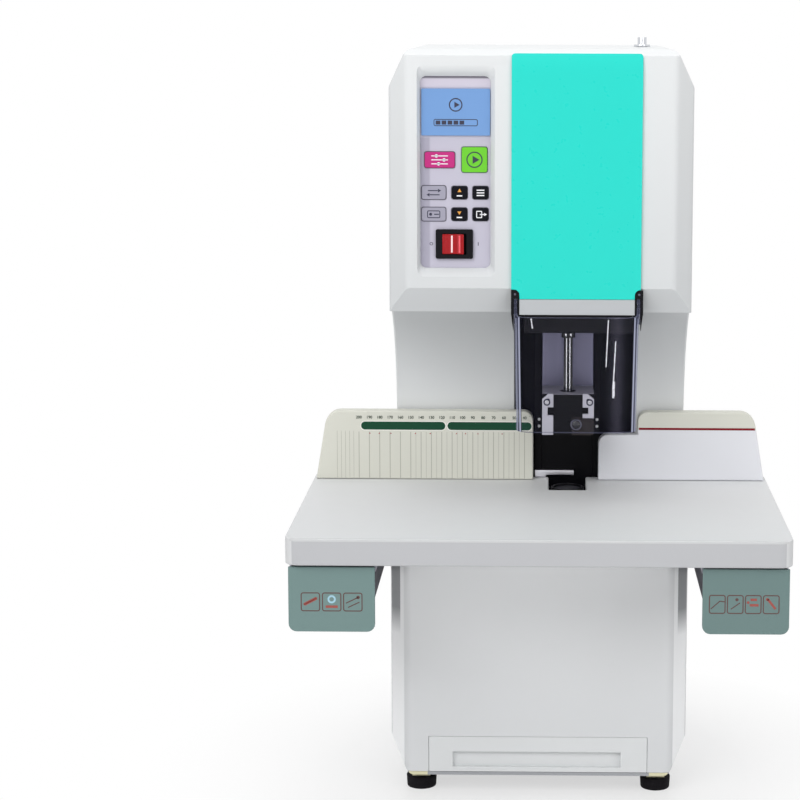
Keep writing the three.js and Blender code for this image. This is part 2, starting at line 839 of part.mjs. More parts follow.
function makeChipDrawer() {
  const floor = baseTop + sheet.seam;
  const faceY = [bodyFront, bodyFront + 2 * sheet.wall];
  const face = block(drawerX, faceY, [floor, drawer.top]);
  const trayY = [bodyFront + sheet.wall, bodyFront + drawer.depth];
  const outerX = [drawerX[0] + drawer.sideGap, drawerX[1] - drawer.sideGap];
  const tray = block(outerX, trayY, [floor, floor + drawer.trayHeight]);
  const gripX = [drawerX[0] + drawer.gripLeft, drawerX[1] - drawer.gripRight];
  const gripZ = [drawer.gripBottom, drawer.gripTop];
  const gripEnd = bodyFront + drawer.gripDepth;
  const inside = block(
    [outerX[0] + drawer.wall, outerX[1] - drawer.wall],
    [gripEnd + drawer.wall, trayY[1] - drawer.wall],
    [floor + drawer.wall, drawer.top + fit.overrun],
  );
  const grip = block(gripX, [bodyFront - fit.overrun, gripEnd], gripZ);
  addMesh("chip_drawer", cut(join(face, tray), inside, grip), finishes.shell);
}

// The frame that carries the tools, and what is fixed to it.

const barX = { left: drillX - barOuter, right: drillX + barOuter - frame.barThickness };
const barY = [columnFront + fit.seat, columnFront + fit.seat + frame.barDepth];
const backY = [barY[1], barY[1] + frame.backThickness];
const armTop = tableBottom - frame.armDrop;
const armZ = [armTop - frame.armHeight, armTop];
const castingBottom = headBottom + casting.lift;
const screwY = columnFront + guideRod.behindColumn;
const screwPlace = [drillX, screwY];
const screwBore = leadScrew.radius + fit.running;

function makeFrame() {
  const frameTop = castingBottom - fit.seat;
  const backX = [drillX - frame.backLeft, drillX + frame.backRight];
  const back = block(backX, backY, [baseTop + fit.seat, frameTop]);
  const bars = [barX.left, barX.right].map((x) =>
    block([x, x + frame.barThickness], [barY[0], backY[1]], [frame.barBottom, frameTop]),
  );
  const arm = block(
    [barX.left, barX.right + frame.barThickness],
    [drillY - frame.armFront, backY[1]],
    armZ,
  );
  const webTop = tableTop + press.stopAboveTable + pressSlide.carrierLift - 2 * fit.running;
  const webFront = barY[0] + frame.webRecess;
  const web = block(
    [barX.left + frame.barThickness / 2, barX.right + frame.barThickness / 2],
    [webFront, webFront + frame.webThickness],
    [armZ[1] - fit.overrun, webTop],
  );
  const bores = [
    upright(screwBore, screwPlace, past(armZ)),
    upright(frame.chipHole, drillPlace, past(armZ)),
  ];
  addMesh("c_frame", cut(join(back, ...bars, arm, web), ...bores), finishes.blackPaint);
}

function makeLowerDie() {
  const top = tableTop - dieHolder.topDrop;
  const body = upright(dieHolder.radius, drillPlace, [armTop + fit.seat, top], dieHolder.radius, 40);
  const seatRadius = dieHolder.padRadius + fit.running;
  const seat = upright(seatRadius, drillPlace, [top - dieHolder.padDepth, top + fit.overrun]);
  const chipHole = upright(frame.chipHole, drillPlace, past([armTop, top]));
  const holder = cut(body, seat, chipHole);
  addMesh("die_holder", holder, finishes.blackPaint);
  const padZ = [top - dieHolder.padDepth + fit.seat, tableTop - dieHolder.padSink];
  const pad = upright(dieHolder.padRadius, drillPlace, padZ, dieHolder.padRadius, 40);
  addMesh("cutting_pad", pad, finishes.nylon);
}

function makeBackStop() {
  const left = drillX - press.width / 2 - frame.barThickness;
  const y = [barY[0] - fit.seat - backStop.depth, barY[0] - fit.seat];
  const z = [tableTop + backStop.lift, tableTop + backStop.lift + backStop.height];
  const bar = block([left, left + backStop.width], y, z);
  const leg = block([left, left + backStop.legWidth], y, [z[1] - backStop.legHeight, z[1]]);
  addMesh("back_stop", join(bar, leg), finishes.steel);
}

function makeCasting() {
  const z = [castingBottom, castingBottom + casting.thickness];
  const plate = block(
    [drillX - casting.left, drillX + casting.right],
    [bodyFront + casting.frontInset, drillY + casting.back],
    z,
  );
  const nose = block(
    around(casting.noseCentre, 2 * casting.noseHalfWidth),
    [bodyFront + casting.noseInset, drillY + casting.noseBack],
    [headBottom - casting.noseDrop, z[1]],
  );
  const bores = [
    upright(casting.noseBore, drillPlace, past([headBottom - casting.noseDrop, z[1]])),
    upright(screwBore, screwPlace, [z[0] - fit.overrun, z[0] + casting.thickness / 2]),
  ];
  addMesh("head_casting", cut(join(plate, nose), ...bores), finishes.castMetal);
}

const castingTop = castingBottom + casting.thickness;
const rodZ = [castingTop + fit.seat, headTop - guideRod.topGap];

function makeDrillGuides() {
  for (const [side, direction] of Object.entries({ left: -1, right: 1 })) {
    const place = [drillX + direction * guideRod.spacing, screwY];
    const rod = upright(guideRod.radius, place, rodZ, guideRod.radius, 24);
    addMesh(`drill_guide_rod_${side}`, rod, finishes.chrome);
  }
  const z = [rodZ[1] + fit.seat, rodZ[1] + fit.seat + topPlate.thickness];
  const plate = cut(
    block(around(drillX, 2 * topPlate.halfWidth), around(screwY, 2 * topPlate.halfDepth), z),
    upright(screwBore, screwPlace, past(z)),
  );
  addMesh("top_plate", plate, finishes.steel);
}

// A square stepper motor with chamfered corners, its shaft end at the given height.
function stepMotorSolid(place, [from, to]) {
  const [x, y] = place;
  const side = stepMotor.side / 2;
  const inner = side - stepMotor.chamfer;
  const corners = [
    [inner, -side],
    [side, -inner],
    [side, inner],
    [inner, side],
    [-inner, side],
    [-side, inner],
    [-side, -inner],
    [-inner, -side],
  ];
  return alongZ(outline(corners.map(([u, v]) => [x + u, y + v])), [from, to]);
}

function makeMotorsAndScrews() {
  const liftBottom = rodZ[1] + 2 * fit.seat + topPlate.thickness;
  addMesh(
    "lift_motor",
    stepMotorSolid(screwPlace, [liftBottom, liftBottom + stepMotor.liftHeight]),
    finishes.castMetal,
  );
  const pressTop = armZ[0] - fit.seat;
  addMesh(
    "press_motor",
    stepMotorSolid(screwPlace, [pressTop - stepMotor.pressHeight, pressTop]),
    finishes.castMetal,
  );
  addMesh(
    "lift_screw",
    upright(leadScrew.radius, screwPlace, [castingTop + fit.seat, liftBottom - fit.seat], leadScrew.radius, 20),
    finishes.steel,
  );
  addMesh(
    "press_screw",
    upright(
      leadScrew.radius,
      screwPlace,
      [pressTop + fit.seat, castingBottom + casting.thickness / 2 - fit.seat],
      leadScrew.radius,
      20,
    ),
    finishes.steel,
  );
}

// The drilling unit.

const pressBottom = tableTop + press.clearance;
const drillTip = pressBottom + drillBit.tipInBlock;
const collarBottom = headBottom - casting.noseDrop - drillBit.collarDrop;
const carriageBottom = headBottom + carriage.rise;

function makeDrillCarriage() {
  const z = [carriageBottom, carriageBottom + carriage.thickness];
  const plan = outline(
    [
      [drillX - carriage.front, drillY - carriage.front, carriage.front / 2],
      [drillX + carriage.front, drillY - carriage.front, carriage.front / 2],
      [drillX + carriage.halfWidth, screwY - carriage.back, carriage.bushRadius / 2],
      [drillX + carriage.halfWidth, screwY + carriage.back, carriage.bushRadius / 2],
      [drillX - carriage.halfWidth, screwY + carriage.back, carriage.bushRadius / 2],
      [drillX - carriage.halfWidth, screwY - carriage.back, carriage.bushRadius / 2],
    ],
    4,
  );
  const rods = [drillX - guideRod.spacing, drillX + guideRod.spacing].map((x) => [x, screwY]);
  const bushes = rods.map((place) => upright(carriage.bushRadius, place, [z[0], z[1] + carriage.bushHeight]));
  const nut = upright(carriage.nutRadius, screwPlace, [z[0], z[1] + carriage.nutHeight]);
  const reach = past([z[0], z[1] + carriage.bushHeight]);
  const bores = [
    ...rods.map((place) => upright(guideRod.radius + fit.running, place, reach)),
    upright(screwBore, screwPlace, reach),
    upright(spindle.radius + fit.running, drillPlace, reach),
  ];
  addMesh("drill_carriage", cut(join(alongZ(plan, z), ...bushes, nut), ...bores), finishes.castMetal);
  const motorBottom = z[1] + fit.seat;
  const capTop = rodZ[1] - drillMotor.topGap;
  const canTop = capTop - drillMotor.capHeight;
  const can = upright(drillMotor.radius, drillPlace, [motorBottom, canTop]);
  const cap = upright(drillMotor.capRadius, drillPlace, [canTop - fit.seat, capTop]);
  addMesh("drill_motor", join(can, cap), finishes.blackPaint);
}

function makeSpindle() {
  const collarTop = collarBottom + spindle.collarHeight;
  addMesh(
    "spindle",
    upright(
      spindle.radius,
      drillPlace,
      [collarTop + fit.seat, carriageBottom + carriage.thickness],
      spindle.radius,
      28,
    ),
    finishes.steel,
  );
  const collar = upright(spindle.collarRadius, drillPlace, [collarBottom, collarTop]);
  const shank = upright(drillBit.radius, drillPlace, [drillTip, collarTop], drillBit.radius, 28);
  const bore = upright(
    spindle.boreRadius,
    drillPlace,
    [drillTip - fit.overrun, collarBottom - spindle.boreStop],
    spindle.boreRadius,
    16,
  );
  addMesh("hollow_drill", cut(join(collar, shank), bore), finishes.chrome);
}

// The press that holds the stack down.

const pressZ = [pressBottom, pressBottom + press.height];
const pressX = around(drillX, press.width);
const noseX = around(drillX, press.blockWidth);
const slideFront = columnFront - pressSlide.beforeColumn;
const slideY = [slideFront, slideFront + pressSlide.thickness];
const pressFront = drillY - press.noseDepth;
const wingFront = pressFront + press.wingRecess;

function makePressBlock() {
  const back = slideY[0] - fit.seat;
  const wings = block(pressX, [wingFront, back], pressZ);
  const nose = block(noseX, [pressFront, back], pressZ);
  const lampX = [pressX[1] - lampHousing.width, pressX[1]];
  const lampZ = [pressBottom + fit.running, pressBottom + fit.running + lampHousing.height];
  const lampFront = pressFront - lampHousing.thickness;
  const lamp = alongY(rectangle(lampX, lampZ, lampHousing.round), [lampFront, wingFront + fit.running]);
  const lampBoss = lyingY(
    lampHousing.bossRadius,
    [lampX[0] + 1.5 * lampHousing.bossRadius, (lampZ[0] + lampZ[1]) / 2 + lampHousing.bossLift],
    [lampFront - lampHousing.bossRise, lampFront + lampHousing.thickness / 2],
    20,
  );
  const bores = [
    upright(press.topBore, drillPlace, [pressBottom + press.lowerBoreLength, pressZ[1] + fit.overrun]),
    upright(press.lowerBore, drillPlace, past(pressZ)),
  ];
  addMesh("press_block", cut(join(wings, nose, lamp, lampBoss), ...bores), finishes.blackPlastic);
}

// The two steel plates on the wings, drawn from the outer edge inwards.
function makePressPlates() {
  const width = (press.width - press.blockWidth) / 2 - fit.seat;
  const top = pressZ[1];
  const topZ = top - pressPlate.topHeight;
  const span = [wingFront - fit.seat - pressPlate.thickness, wingFront - fit.seat];
  const padOf = (bottom, padTop, outer, direction) =>
    outline([
      [outer, bottom],
      [outer, top - pressPlate.clipHeight],
      [outer + direction * pressPlate.clipWidth, top],
      [outer + direction * width, top],
      [outer + direction * width, topZ],
      [outer + direction * pressPlate.stemWidth, topZ],
      [outer + direction * pressPlate.stemWidth, padTop],
      [outer + direction * width, padTop],
      [outer + direction * width, bottom],
    ]);
  const screwZ = top - pressPlate.topHeight / 2;
  const plateOf = (shape, outer, direction) =>
    cut(
      alongY(shape, span),
      lyingY(pressPlate.screwHole, [outer + (direction * width) / 2, screwZ], past(span), 12),
    );
  const leftShape = padOf(pressBottom, pressBottom + pressPlate.leftPadHeight, pressX[0], 1);
  const rightBottom = pressBottom + pressPlate.rightPadLift + 2 * fit.running;
  const rightShape = padOf(rightBottom, rightBottom + pressPlate.rightPadHeight, pressX[1], -1);
  addMesh("press_plate_left", plateOf(leftShape, pressX[0], 1), finishes.steel);
  addMesh("press_plate_right", plateOf(rightShape, pressX[1], -1), finishes.steel);
}

function makePressSlide() {
  const plate = block(pressX, slideY, [pressBottom, headBottom - pressSlide.topDrop]);
  const carrierBottom = pressBottom + pressSlide.carrierLift;
  const carrierZ = [carrierBottom, carrierBottom + pressSlide.carrierHeight];
  const carrier = block(pressX, [slideY[1] - fit.seat, slideY[1] + pressSlide.carrierDepth], carrierZ);
  const bore = upright(screwBore, screwPlace, past(carrierZ));
  addMesh("press_slide", cut(join(plate, carrier), bore), finishes.steel);
}

// The head's front: strip, control panel, screen, keys and power switch.

function makeStrip() {
  const inner = bodyFront - sheet.seam;
  const outer = inner - strip.thickness;
  const [bottom, top] = stripZ;
  const curveStart = top - strip.curveRise;
  const profile = outline([
    [inner, bottom],
    [inner, top],
    [outer + strip.curveBack, top],
    [outer + strip.curveBack / 3, curveStart + strip.curveRise / 2],
    [outer, curveStart],
    [outer, bottom],
  ].reverse());
  const face = outline([
    [-strip.left, bottom],
    [strip.right, bottom],
    [strip.right, top, strip.round],
    [-strip.left, top, strip.round],
  ]);
  const cornerTop = hingeTop + sheet.seam;
  const corners = [
    [-strip.left - fit.overrun, chinX[0]],
    [chinX[1], strip.right + fit.overrun],
  ].map((x) => block(x, past([outer, inner]), [bottom - fit.overrun, cornerTop]));
  const curved = alongX(profile, past([-strip.left, strip.right]));
  const whole = common(curved, alongY(face, past([outer, inner])));
  addMesh("front_strip", cut(whole, ...corners), finishes.teal);
}

const panelFront = bodyFront + recess.depth + fit.seat;
const panelX = [recessX[0] - panelPlate.margin, recessX[1] + panelPlate.margin];
const panelZ = [recessZ[0] - panelPlate.margin, recessZ[1] + panelPlate.margin];
const panelY = [panelFront, panelFront + panelPlate.thickness];
const clearance = 2 * fit.seat;
const rockerZ = atShare(rocker.share);

function makeControlPanel() {
  const plate = block(panelX, panelY, panelZ);
  const keyHoles = keys.map((one) =>
    alongY(
      rectangle(
        around(one.x, one.width + clearance),
        around(atShare(one.share), one.height + clearance),
        key.round,
      ),
      past(panelY),
    ),
  );
  const rockerHole = block(
    around(rocker.x, rocker.frameWidth - 2 * rocker.bodyMargin + clearance),
    past(panelY),
    around(rockerZ, rocker.frameHeight - 2 * rocker.bodyMargin + clearance),
  );
  addMesh("control_panel", cut(plate, ...keyHoles, rockerHole), finishes.panel);
  const glass = alongY(
    rectangle(around(screen.x, screen.width), around(atShare(screen.share), screen.height), screen.round),
    [panelFront - fit.seat - screen.thickness, panelFront - fit.seat],
  );
  addMesh("lcd_screen", glass, finishes.lcd);
}

function makeKeys() {
  for (const one of keys) {
    const cap = alongY(
      rectangle(around(0, one.width), around(0, one.height), key.round),
      [0, key.length],
    );
    const mesh = addMesh(one.name, cap, { color: one.colour, roughness: 0.45, metalness: 0 });
    mesh.position.set(one.x, panelFront - key.rise, atShare(one.share));
  }
}

function makePowerSwitch() {
  const bezelFront = panelFront - fit.seat - rocker.frameRise;
  const rim = alongY(
    rectangle(around(rocker.x, rocker.frameWidth), around(rockerZ, rocker.frameHeight), rocker.frameRound),
    [bezelFront, panelFront - fit.seat],
  );
  const housing = block(
    around(rocker.x, rocker.frameWidth - 2 * rocker.bodyMargin),
    [bezelFront, panelFront + rocker.bodyDepth],
    around(rockerZ, rocker.frameHeight - 2 * rocker.bodyMargin),
  );
  const well = block(
    around(rocker.x, rocker.width + 2 * fit.running),
    [bezelFront - fit.overrun, panelFront + rocker.root + rocker.crown],
    around(rockerZ, rocker.height + 2 * fit.running),
  );
  addMesh("rocker_bezel", cut(join(rim, housing), well), finishes.blackPlastic);

  const pivot = new THREE.Group();
  pivot.position.set(rocker.x, panelFront + rocker.root / 2, rockerZ);
  pivot.rotation.z = THREE.MathUtils.degToRad(-rocker.tilt);
  const side = rocker.width / 2 - fit.running;
  const profile = outline([
    [-side, -rocker.crown - rocker.root / 2],
    [0, -rocker.valley - rocker.root / 2],
    [side, -rocker.crown - rocker.root / 2],
    [side / 2, rocker.root / 2],
    [-side / 2, rocker.root / 2],
  ]);
  addMesh("power_rocker", alongZ(profile, around(0, rocker.height)), finishes.red, pivot);
  machineGroup.add(pivot);
}

// The clear guard in front of the tools, and the blocks that it hangs on.

const pinPlace = [bodyFront + hingeBlock.pinInset, headBottom + hingeBlock.pinRise];
const guardZ = [tableTop + guard.aboveTable, headBottom - guard.topDrop];

function makeGuard() {
  const front = bodyFront - guard.beforeBody;
  const rear = front + (columnFront - bodyFront) * guard.depthShare;
  const [low, high] = guardZ;
  const uShape = (inset, end) => {
    const side = guardTopHalf - inset;
    const round = guard.round - inset;
    return outline(
      [
        [-side, front + inset, round],
        [side, front + inset, round],
        [side, end],
        [-side, end],
      ],
      6,
    );
  };
  const wallPlan = cut(
    alongZ(uShape(0, rear), guardZ),
    alongZ(uShape(guard.wall, rear + fit.overrun), past(guardZ)),
  );
  const tapered = new THREE.BufferGeometry().copy(geometryOf(wallPlan));
  const position = tapered.attributes.position;
  for (let i = 0; i < position.count; i += 1) {
    const depth = (high - position.getZ(i)) / (high - low);
    const width = THREE.MathUtils.lerp(guard.topWidth, guard.bottomWidth, depth);
    position.setX(i, guard.centre + (position.getX(i) * width) / guard.topWidth);
  }
  const walls = solid(tapered);
  const clipped = alongX(
    outline([
      [rear + fit.overrun, high - guard.rearClipRise],
      [rear + fit.overrun, high + fit.overrun],
      [rear - guard.rearClipDepth, high + fit.overrun],
      [rear - guard.rearClipDepth, high],
      [rear, high - guard.rearClipRise],
    ]),
    past(around(guard.centre, guard.topWidth)),
  );
  const [pinY, pinZ] = pinPlace;
  const ears = [-1, 1].map((side) => {
    const outer = guard.centre + side * guardTopHalf;
    const span = side < 0 ? [outer, outer + guard.wall] : [outer - guard.wall, outer];
    const stemY = around(pinY, 2 * guard.earRadius);
    const stem = alongX(rectangle(stemY, [high - guard.earRadius, pinZ]), span);
    const eye = lyingX(guard.earRadius, pinPlace, span);
    return join(stem, eye);
  });
  const pinHole = lyingX(
    hingeBlock.pinRadius + fit.seat,
    pinPlace,
    past(around(guard.centre, guard.topWidth)),
    12,
  );
  addMesh("guard", cut(join(cut(walls, clipped), ...ears), pinHole), finishes.clear);
}

// Each block is a fork: the guard's ear swings in its slot, on a pin through both cheeks.
function makeHingeBlocks() {
  const [pinY, pinZ] = pinPlace;
  const back = bodyFront + body.frontChamfer;
  const front = bodyFront - strip.thickness;
  const chinRest = outline([
    [front, headBottom],
    [back, headBottom],
    [bodyFront, headBottom + head.chinRise],
    [bodyFront, hingeTop],
    [front, hingeTop],
  ].map(([y, z]) => [y - fit.seat, z - fit.seat]));
  for (const [side, direction] of Object.entries({ left: -1, right: 1 })) {
    const between = (span) => span.map((x) => guard.centre + direction * x).sort((a, b) => a - b);
    const blockX = between(hingeSpan);
    const top = hingeTop - sheet.seam;
    const face = outline([
      [blockX[0], headBottom - fit.seat],
      [blockX[1], headBottom - fit.seat],
      [blockX[1], top, direction < 0 ? hingeBlock.round : 0],
      [blockX[0], top, direction < 0 ? 0 : hingeBlock.round],
    ]);
    const whole = common(alongY(face, past([front, back])), alongX(chinRest, past(blockX)));
    const slot = block(
      between(earSlot),
      [front - fit.overrun, pinY + guard.earRadius + fit.running],
      [headBottom - fit.overrun, pinZ + guard.earRadius + 2 * fit.running],
    );
    const pinX = between([hingeSpan[0] + fit.seat, hingeSpan[1] - fit.seat]);
    const pin = lyingX(hingeBlock.pinRadius, pinPlace, pinX, 12);
    addMesh(`guard_hinge_${side}`, join(cut(whole, slot), pin), finishes.blackPlastic);
  }
}

// Inside the body, and the tube inlet on top.

function makePowerSupply() {
  const y = bodyRear - inlet.depth - supply.inletGap - supply.depth / 2;
  const bottom = baseTop + fit.seat;
  const core = block(around(supply.x, supply.width), around(y, supply.depth - 2 * supply.windingBulge), [
    bottom,
    bottom + supply.height,
  ]);
  const winding = block(
    around(supply.x, supply.windingWidth),
    around(y, supply.depth),
    [bottom + supply.windingBulge, bottom + supply.height - supply.windingBulge],
  );
  addMesh("power_transformer", join(core, winding), finishes.copper);
}

function makeControlBoard() {
  const start = backY[1] + fit.seat;
  const y = [start + board.standoff, start + board.standoff + board.thickness];
  const x = around(board.x, board.width);
  const z = [tableTop + board.rise, tableTop + board.rise + board.height];
  const posts = [x[0] + board.margin, x[1] - board.margin].flatMap((px) =>
    [z[0] + board.margin, z[1] - board.margin].map((pz) =>
      lyingY(board.standoffRadius, [px, pz], [start, y[1]], 10),
    ),
  );
  addMesh("control_board", join(block(x, y, z), ...posts), finishes.circuit);
}

function makeChipChute() {
  const z = [drawer.top + chute.drawerGap, armZ[0] - fit.seat];
  const outer = block(around(drillX, chute.side), around(drillY, chute.side), z);
  const inner = block(
    around(drillX, chute.side - 2 * chute.wall),
    around(drillY, chute.side - 2 * chute.wall),
    past(z),
  );
  addMesh("chip_chute", cut(outer, inner), finishes.steel);
}

function makeNozzle() {
  const place = nozzlePlace;
  const base = headTop + fit.seat;
  const tube = upright(nozzle.radius, place, [headTop - nozzle.depth, base + nozzle.height]);
  const collar = upright(nozzle.baseRadius, place, [base, base + nozzle.baseHeight]);
  const reach = past([headTop - nozzle.depth, base + nozzle.height]);
  const bore = upright(nozzle.bore, place, reach, nozzle.bore, 20);
  addMesh("tube_nozzle", cut(join(tube, collar), bore), finishes.chrome);
}

makeBasePlate();
makeFeet();
makeLowerCover();
makeUpperCovers();
makeRearCover();
makePowerInlet();
makeTable();
makeFences();
makeBins();
makeRunners();
makeChipDrawer();
makeFrame();
makeLowerDie();
makeBackStop();
makeCasting();
makeDrillGuides();
makeMotorsAndScrews();
makeDrillCarriage();
makeSpindle();
makePressBlock();
makePressPlates();
makePressSlide();
makeStrip();
makeControlPanel();
makeKeys();
makePowerSwitch();
makeGuard();
makeHingeBlocks();
makePowerSupply();
makeControlBoard();
makeChipChute();
makeNozzle();

export default machineGroup;
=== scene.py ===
import json
import math

import bmesh
import bpy
from mathutils import Matrix, Vector

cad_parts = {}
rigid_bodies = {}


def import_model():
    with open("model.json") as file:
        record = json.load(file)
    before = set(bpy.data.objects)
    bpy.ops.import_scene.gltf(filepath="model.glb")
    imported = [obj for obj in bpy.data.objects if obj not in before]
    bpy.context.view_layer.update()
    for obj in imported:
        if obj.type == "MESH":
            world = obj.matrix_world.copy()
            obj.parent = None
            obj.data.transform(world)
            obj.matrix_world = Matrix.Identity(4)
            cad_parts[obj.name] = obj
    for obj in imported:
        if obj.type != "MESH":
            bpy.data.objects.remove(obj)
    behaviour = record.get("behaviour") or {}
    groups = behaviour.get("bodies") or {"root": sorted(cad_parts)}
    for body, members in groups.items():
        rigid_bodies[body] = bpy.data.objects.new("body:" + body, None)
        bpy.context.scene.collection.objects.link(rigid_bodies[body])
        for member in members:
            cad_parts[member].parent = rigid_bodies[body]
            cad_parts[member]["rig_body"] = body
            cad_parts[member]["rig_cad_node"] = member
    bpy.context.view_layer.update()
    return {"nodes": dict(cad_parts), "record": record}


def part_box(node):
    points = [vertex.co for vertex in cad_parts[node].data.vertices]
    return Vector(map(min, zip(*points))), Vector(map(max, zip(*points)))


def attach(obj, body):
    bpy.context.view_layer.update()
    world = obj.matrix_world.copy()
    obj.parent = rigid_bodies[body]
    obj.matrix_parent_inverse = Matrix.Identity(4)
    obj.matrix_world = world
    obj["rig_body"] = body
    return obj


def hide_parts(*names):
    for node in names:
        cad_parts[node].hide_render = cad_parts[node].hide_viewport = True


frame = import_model()
nodes = frame["nodes"]
record = frame["record"]
bodyOf = {node: body for body, group in record["behaviour"]["bodies"].items() for node in group}
slotOf = {part["node"]: part["material_slot"] for part in record["subparts"]}
mm = 0.001
print("frame loaded:", len(nodes), "nodes")


# Shader maths: a socket that can be used in sums.


def calc(operation, *values):
    look = next(value.look for value in values if isinstance(value, Wire))
    return look.node("ShaderNodeMath", {"operation": operation}, dict(enumerate(values)))


def maths(operation, swapped=False):
    if swapped:
        return lambda wire, other: calc(operation, other, wire)
    return lambda wire, other: calc(operation, wire, other)


class Wire:
    __add__ = maths("ADD")
    __radd__ = maths("ADD", swapped=True)
    __sub__ = maths("SUBTRACT")
    __rsub__ = maths("SUBTRACT", swapped=True)
    __mul__ = maths("MULTIPLY")
    __rmul__ = maths("MULTIPLY", swapped=True)
    __truediv__ = maths("DIVIDE")
    __mod__ = maths("FLOORED_MODULO")
    __gt__ = maths("GREATER_THAN")
    __lt__ = maths("LESS_THAN")

    def __init__(self, look, socket):
        self.look = look
        self.socket = socket

    def __abs__(self):
        return calc("ABSOLUTE", self)


def linear(code):  # a colour written as six hex digits
    values = [int(code[i : i + 2], 16) / 255 for i in (0, 2, 4)]
    return tuple(v / 12.92 if v <= 0.04045 else ((v + 0.055) / 1.055) ** 2.4 for v in values) + (1,)


def toned(colour, share, lift=0.0):  # a darker or lighter shade of a linear colour
    return tuple(min(1, v * share + lift) for v in colour[:3]) + (1,)


def setStops(stops, wanted):  # a new ramp has two stops already
    for index, (position, shade) in enumerate(wanted):
        stop = stops[index] if index < 2 else stops.new(position)
        stop.position = position
        stop.color = shade


class Nodes:
    def __init__(self, tree):
        self.tree = tree

    def node(self, kind, settings, sockets, output=0):
        made = self.tree.nodes.new(kind)
        for setting, value in settings.items():
            if setting == "stops":
                setStops(made.color_ramp.elements, value)
            else:
                setattr(made, setting, value)
        for key, value in sockets.items():
            if isinstance(value, Wire):
                self.tree.links.new(value.socket, made.inputs[key])
            else:
                made.inputs[key].default_value = value
        return Wire(self, made.outputs[output])


class Look(Nodes):
    def __init__(self, name):
        self.material = bpy.data.materials.new(name)
        self.material.use_nodes = True
        super().__init__(self.material.node_tree)
        self.shader = self.tree.nodes["Principled BSDF"]
        self.place = self.node("ShaderNodeTexCoord", {}, {}, "Object")
        self.splitPlace = None

    def axis(self, letter):
        if self.splitPlace is None:
            self.splitPlace = self.node("ShaderNodeSeparateXYZ", {}, {"Vector": self.place}).socket.node
        return Wire(self, self.splitPlace.outputs[letter])

    def axes(self, letters):
        return [self.axis(letter) for letter in letters]

    def feed(self, **values):
        for key, value in values.items():
            socket = self.shader.inputs[key.replace("_", " ")]
            if isinstance(value, Wire):
                self.tree.links.new(value.socket, socket)
            else:
                socket.default_value = value

    def stretched(self, scale):
        return self.node("ShaderNodeMapping", {}, {"Vector": self.place, "Scale": scale})

    def noise(self, scale, detail=2.0, rough=0.5, vector=None):
        sockets = {"Vector": vector or self.place, "Scale": scale, "Detail": detail, "Roughness": rough}
        return self.node("ShaderNodeTexNoise", {}, sockets)

    def mix(self, factor, first, second):
        return self.node("ShaderNodeMix", {"data_type": "RGBA"}, {0: factor, 6: first, 7: second}, 2)

    def bump(self, height, strength, distance):
        sockets = {"Height": height, "Strength": strength, "Distance": distance}
        return self.node("ShaderNodeBump", {}, sockets, "Normal")

    def plain(self):  # what the base colour holds so far
        return Wire(self, self.shader.inputs["Base Color"].links[0].from_socket)

    def lay(self, where, shade):  # lays a colour over what is there
        over = shade if isinstance(shade, Wire) else linear(shade)
        self.feed(Base_Color=self.mix(where, self.plain(), over))


def between(wire, low, high):
    return (wire > low) * (wire < high)


def eitherOf(first, *others):
    for other in others:
        first = calc("MAXIMUM", first, other)
    return first


def clamped(wire):
    return calc("MINIMUM", calc("MAXIMUM", wire, 0.0), 1.0)


def fading(sizes, along):  # grows as the place falls below the start
    return clamped((sizes["fadeFrom"] - along) / sizes["fadeOver"]) * sizes["fade"]


def turnedAbout(look, x, y):  # the angle round an upright axis, in turns
    return calc("ARCTAN2", look.axis("Y") - y, look.axis("X") - x) * (0.5 / math.pi)


# Finishes.


def painted(name, code, roughness=0.4, peel=0.35, spread=0.035, shine=0.5, coat=0.12):
    look = Look(name)
    base = linear(code)
    cloud = look.noise(9, 3, 0.6)
    speck = look.noise(1400, 2, 0.6)
    look.feed(
        Base_Color=look.mix(cloud * 0.7 + speck * 0.3, toned(base, 1 - spread), base),
        Roughness=look.noise(60, 3) * 0.12 + (roughness - 0.06),
        Normal=look.bump(look.noise(420, 2, 0.45), peel, 0.00005),
        Coat_Weight=coat,
        Coat_Roughness=0.3,
        Specular_IOR_Level=shine,
    )
    return look


def moulded(name, code, roughness=0.45, grain=1600, depth=0.3, spread=0.03, coat=0.0, shine=0.5):
    look = Look(name)
    base = linear(code)
    look.feed(
        Base_Color=look.mix(look.noise(24, 3, 0.6), toned(base, 1 - spread), base),
        Roughness=look.noise(180, 2) * 0.14 + (roughness - 0.07),
        Normal=look.bump(look.noise(grain, 3, 0.6), depth, 0.00004),
        Coat_Weight=coat,
        Specular_IOR_Level=shine,
    )
    return look


def inked(name, code):
    return moulded(name, code, 0.5, 900, 0.05)


def brushed(name, code, roughness=0.3, along="X", depth=0.35):
    look = Look(name)
    fine, coarse = 5200, 30
    scale = {"X": (coarse, fine, fine), "Y": (fine, coarse, fine), "Z": (fine, fine, coarse)}[along]
    lines = look.noise(1.0, 3, 0.6, look.stretched(scale))
    base = linear(code)
    look.feed(
        Base_Color=look.mix(lines * 0.6 + look.noise(40, 2) * 0.4, toned(base, 0.8), base),
        Metallic=1.0,
        Roughness=lines * 0.18 + (roughness - 0.06),
        Normal=look.bump(lines, depth, 0.00003),
    )
    return look


def ground(name, code, roughness=0.14):  # turned round an upright axis
    look = Look(name)
    rings = look.noise(1.0, 2, 0.5, look.stretched((60, 60, 6500)))
    base = linear(code)
    look.feed(
        Base_Color=look.mix(rings, toned(base, 0.86), base),
        Metallic=1.0,
        Roughness=rings * 0.1 + (roughness - 0.04),
        Normal=look.bump(rings, 0.2, 0.00002),
    )
    return look


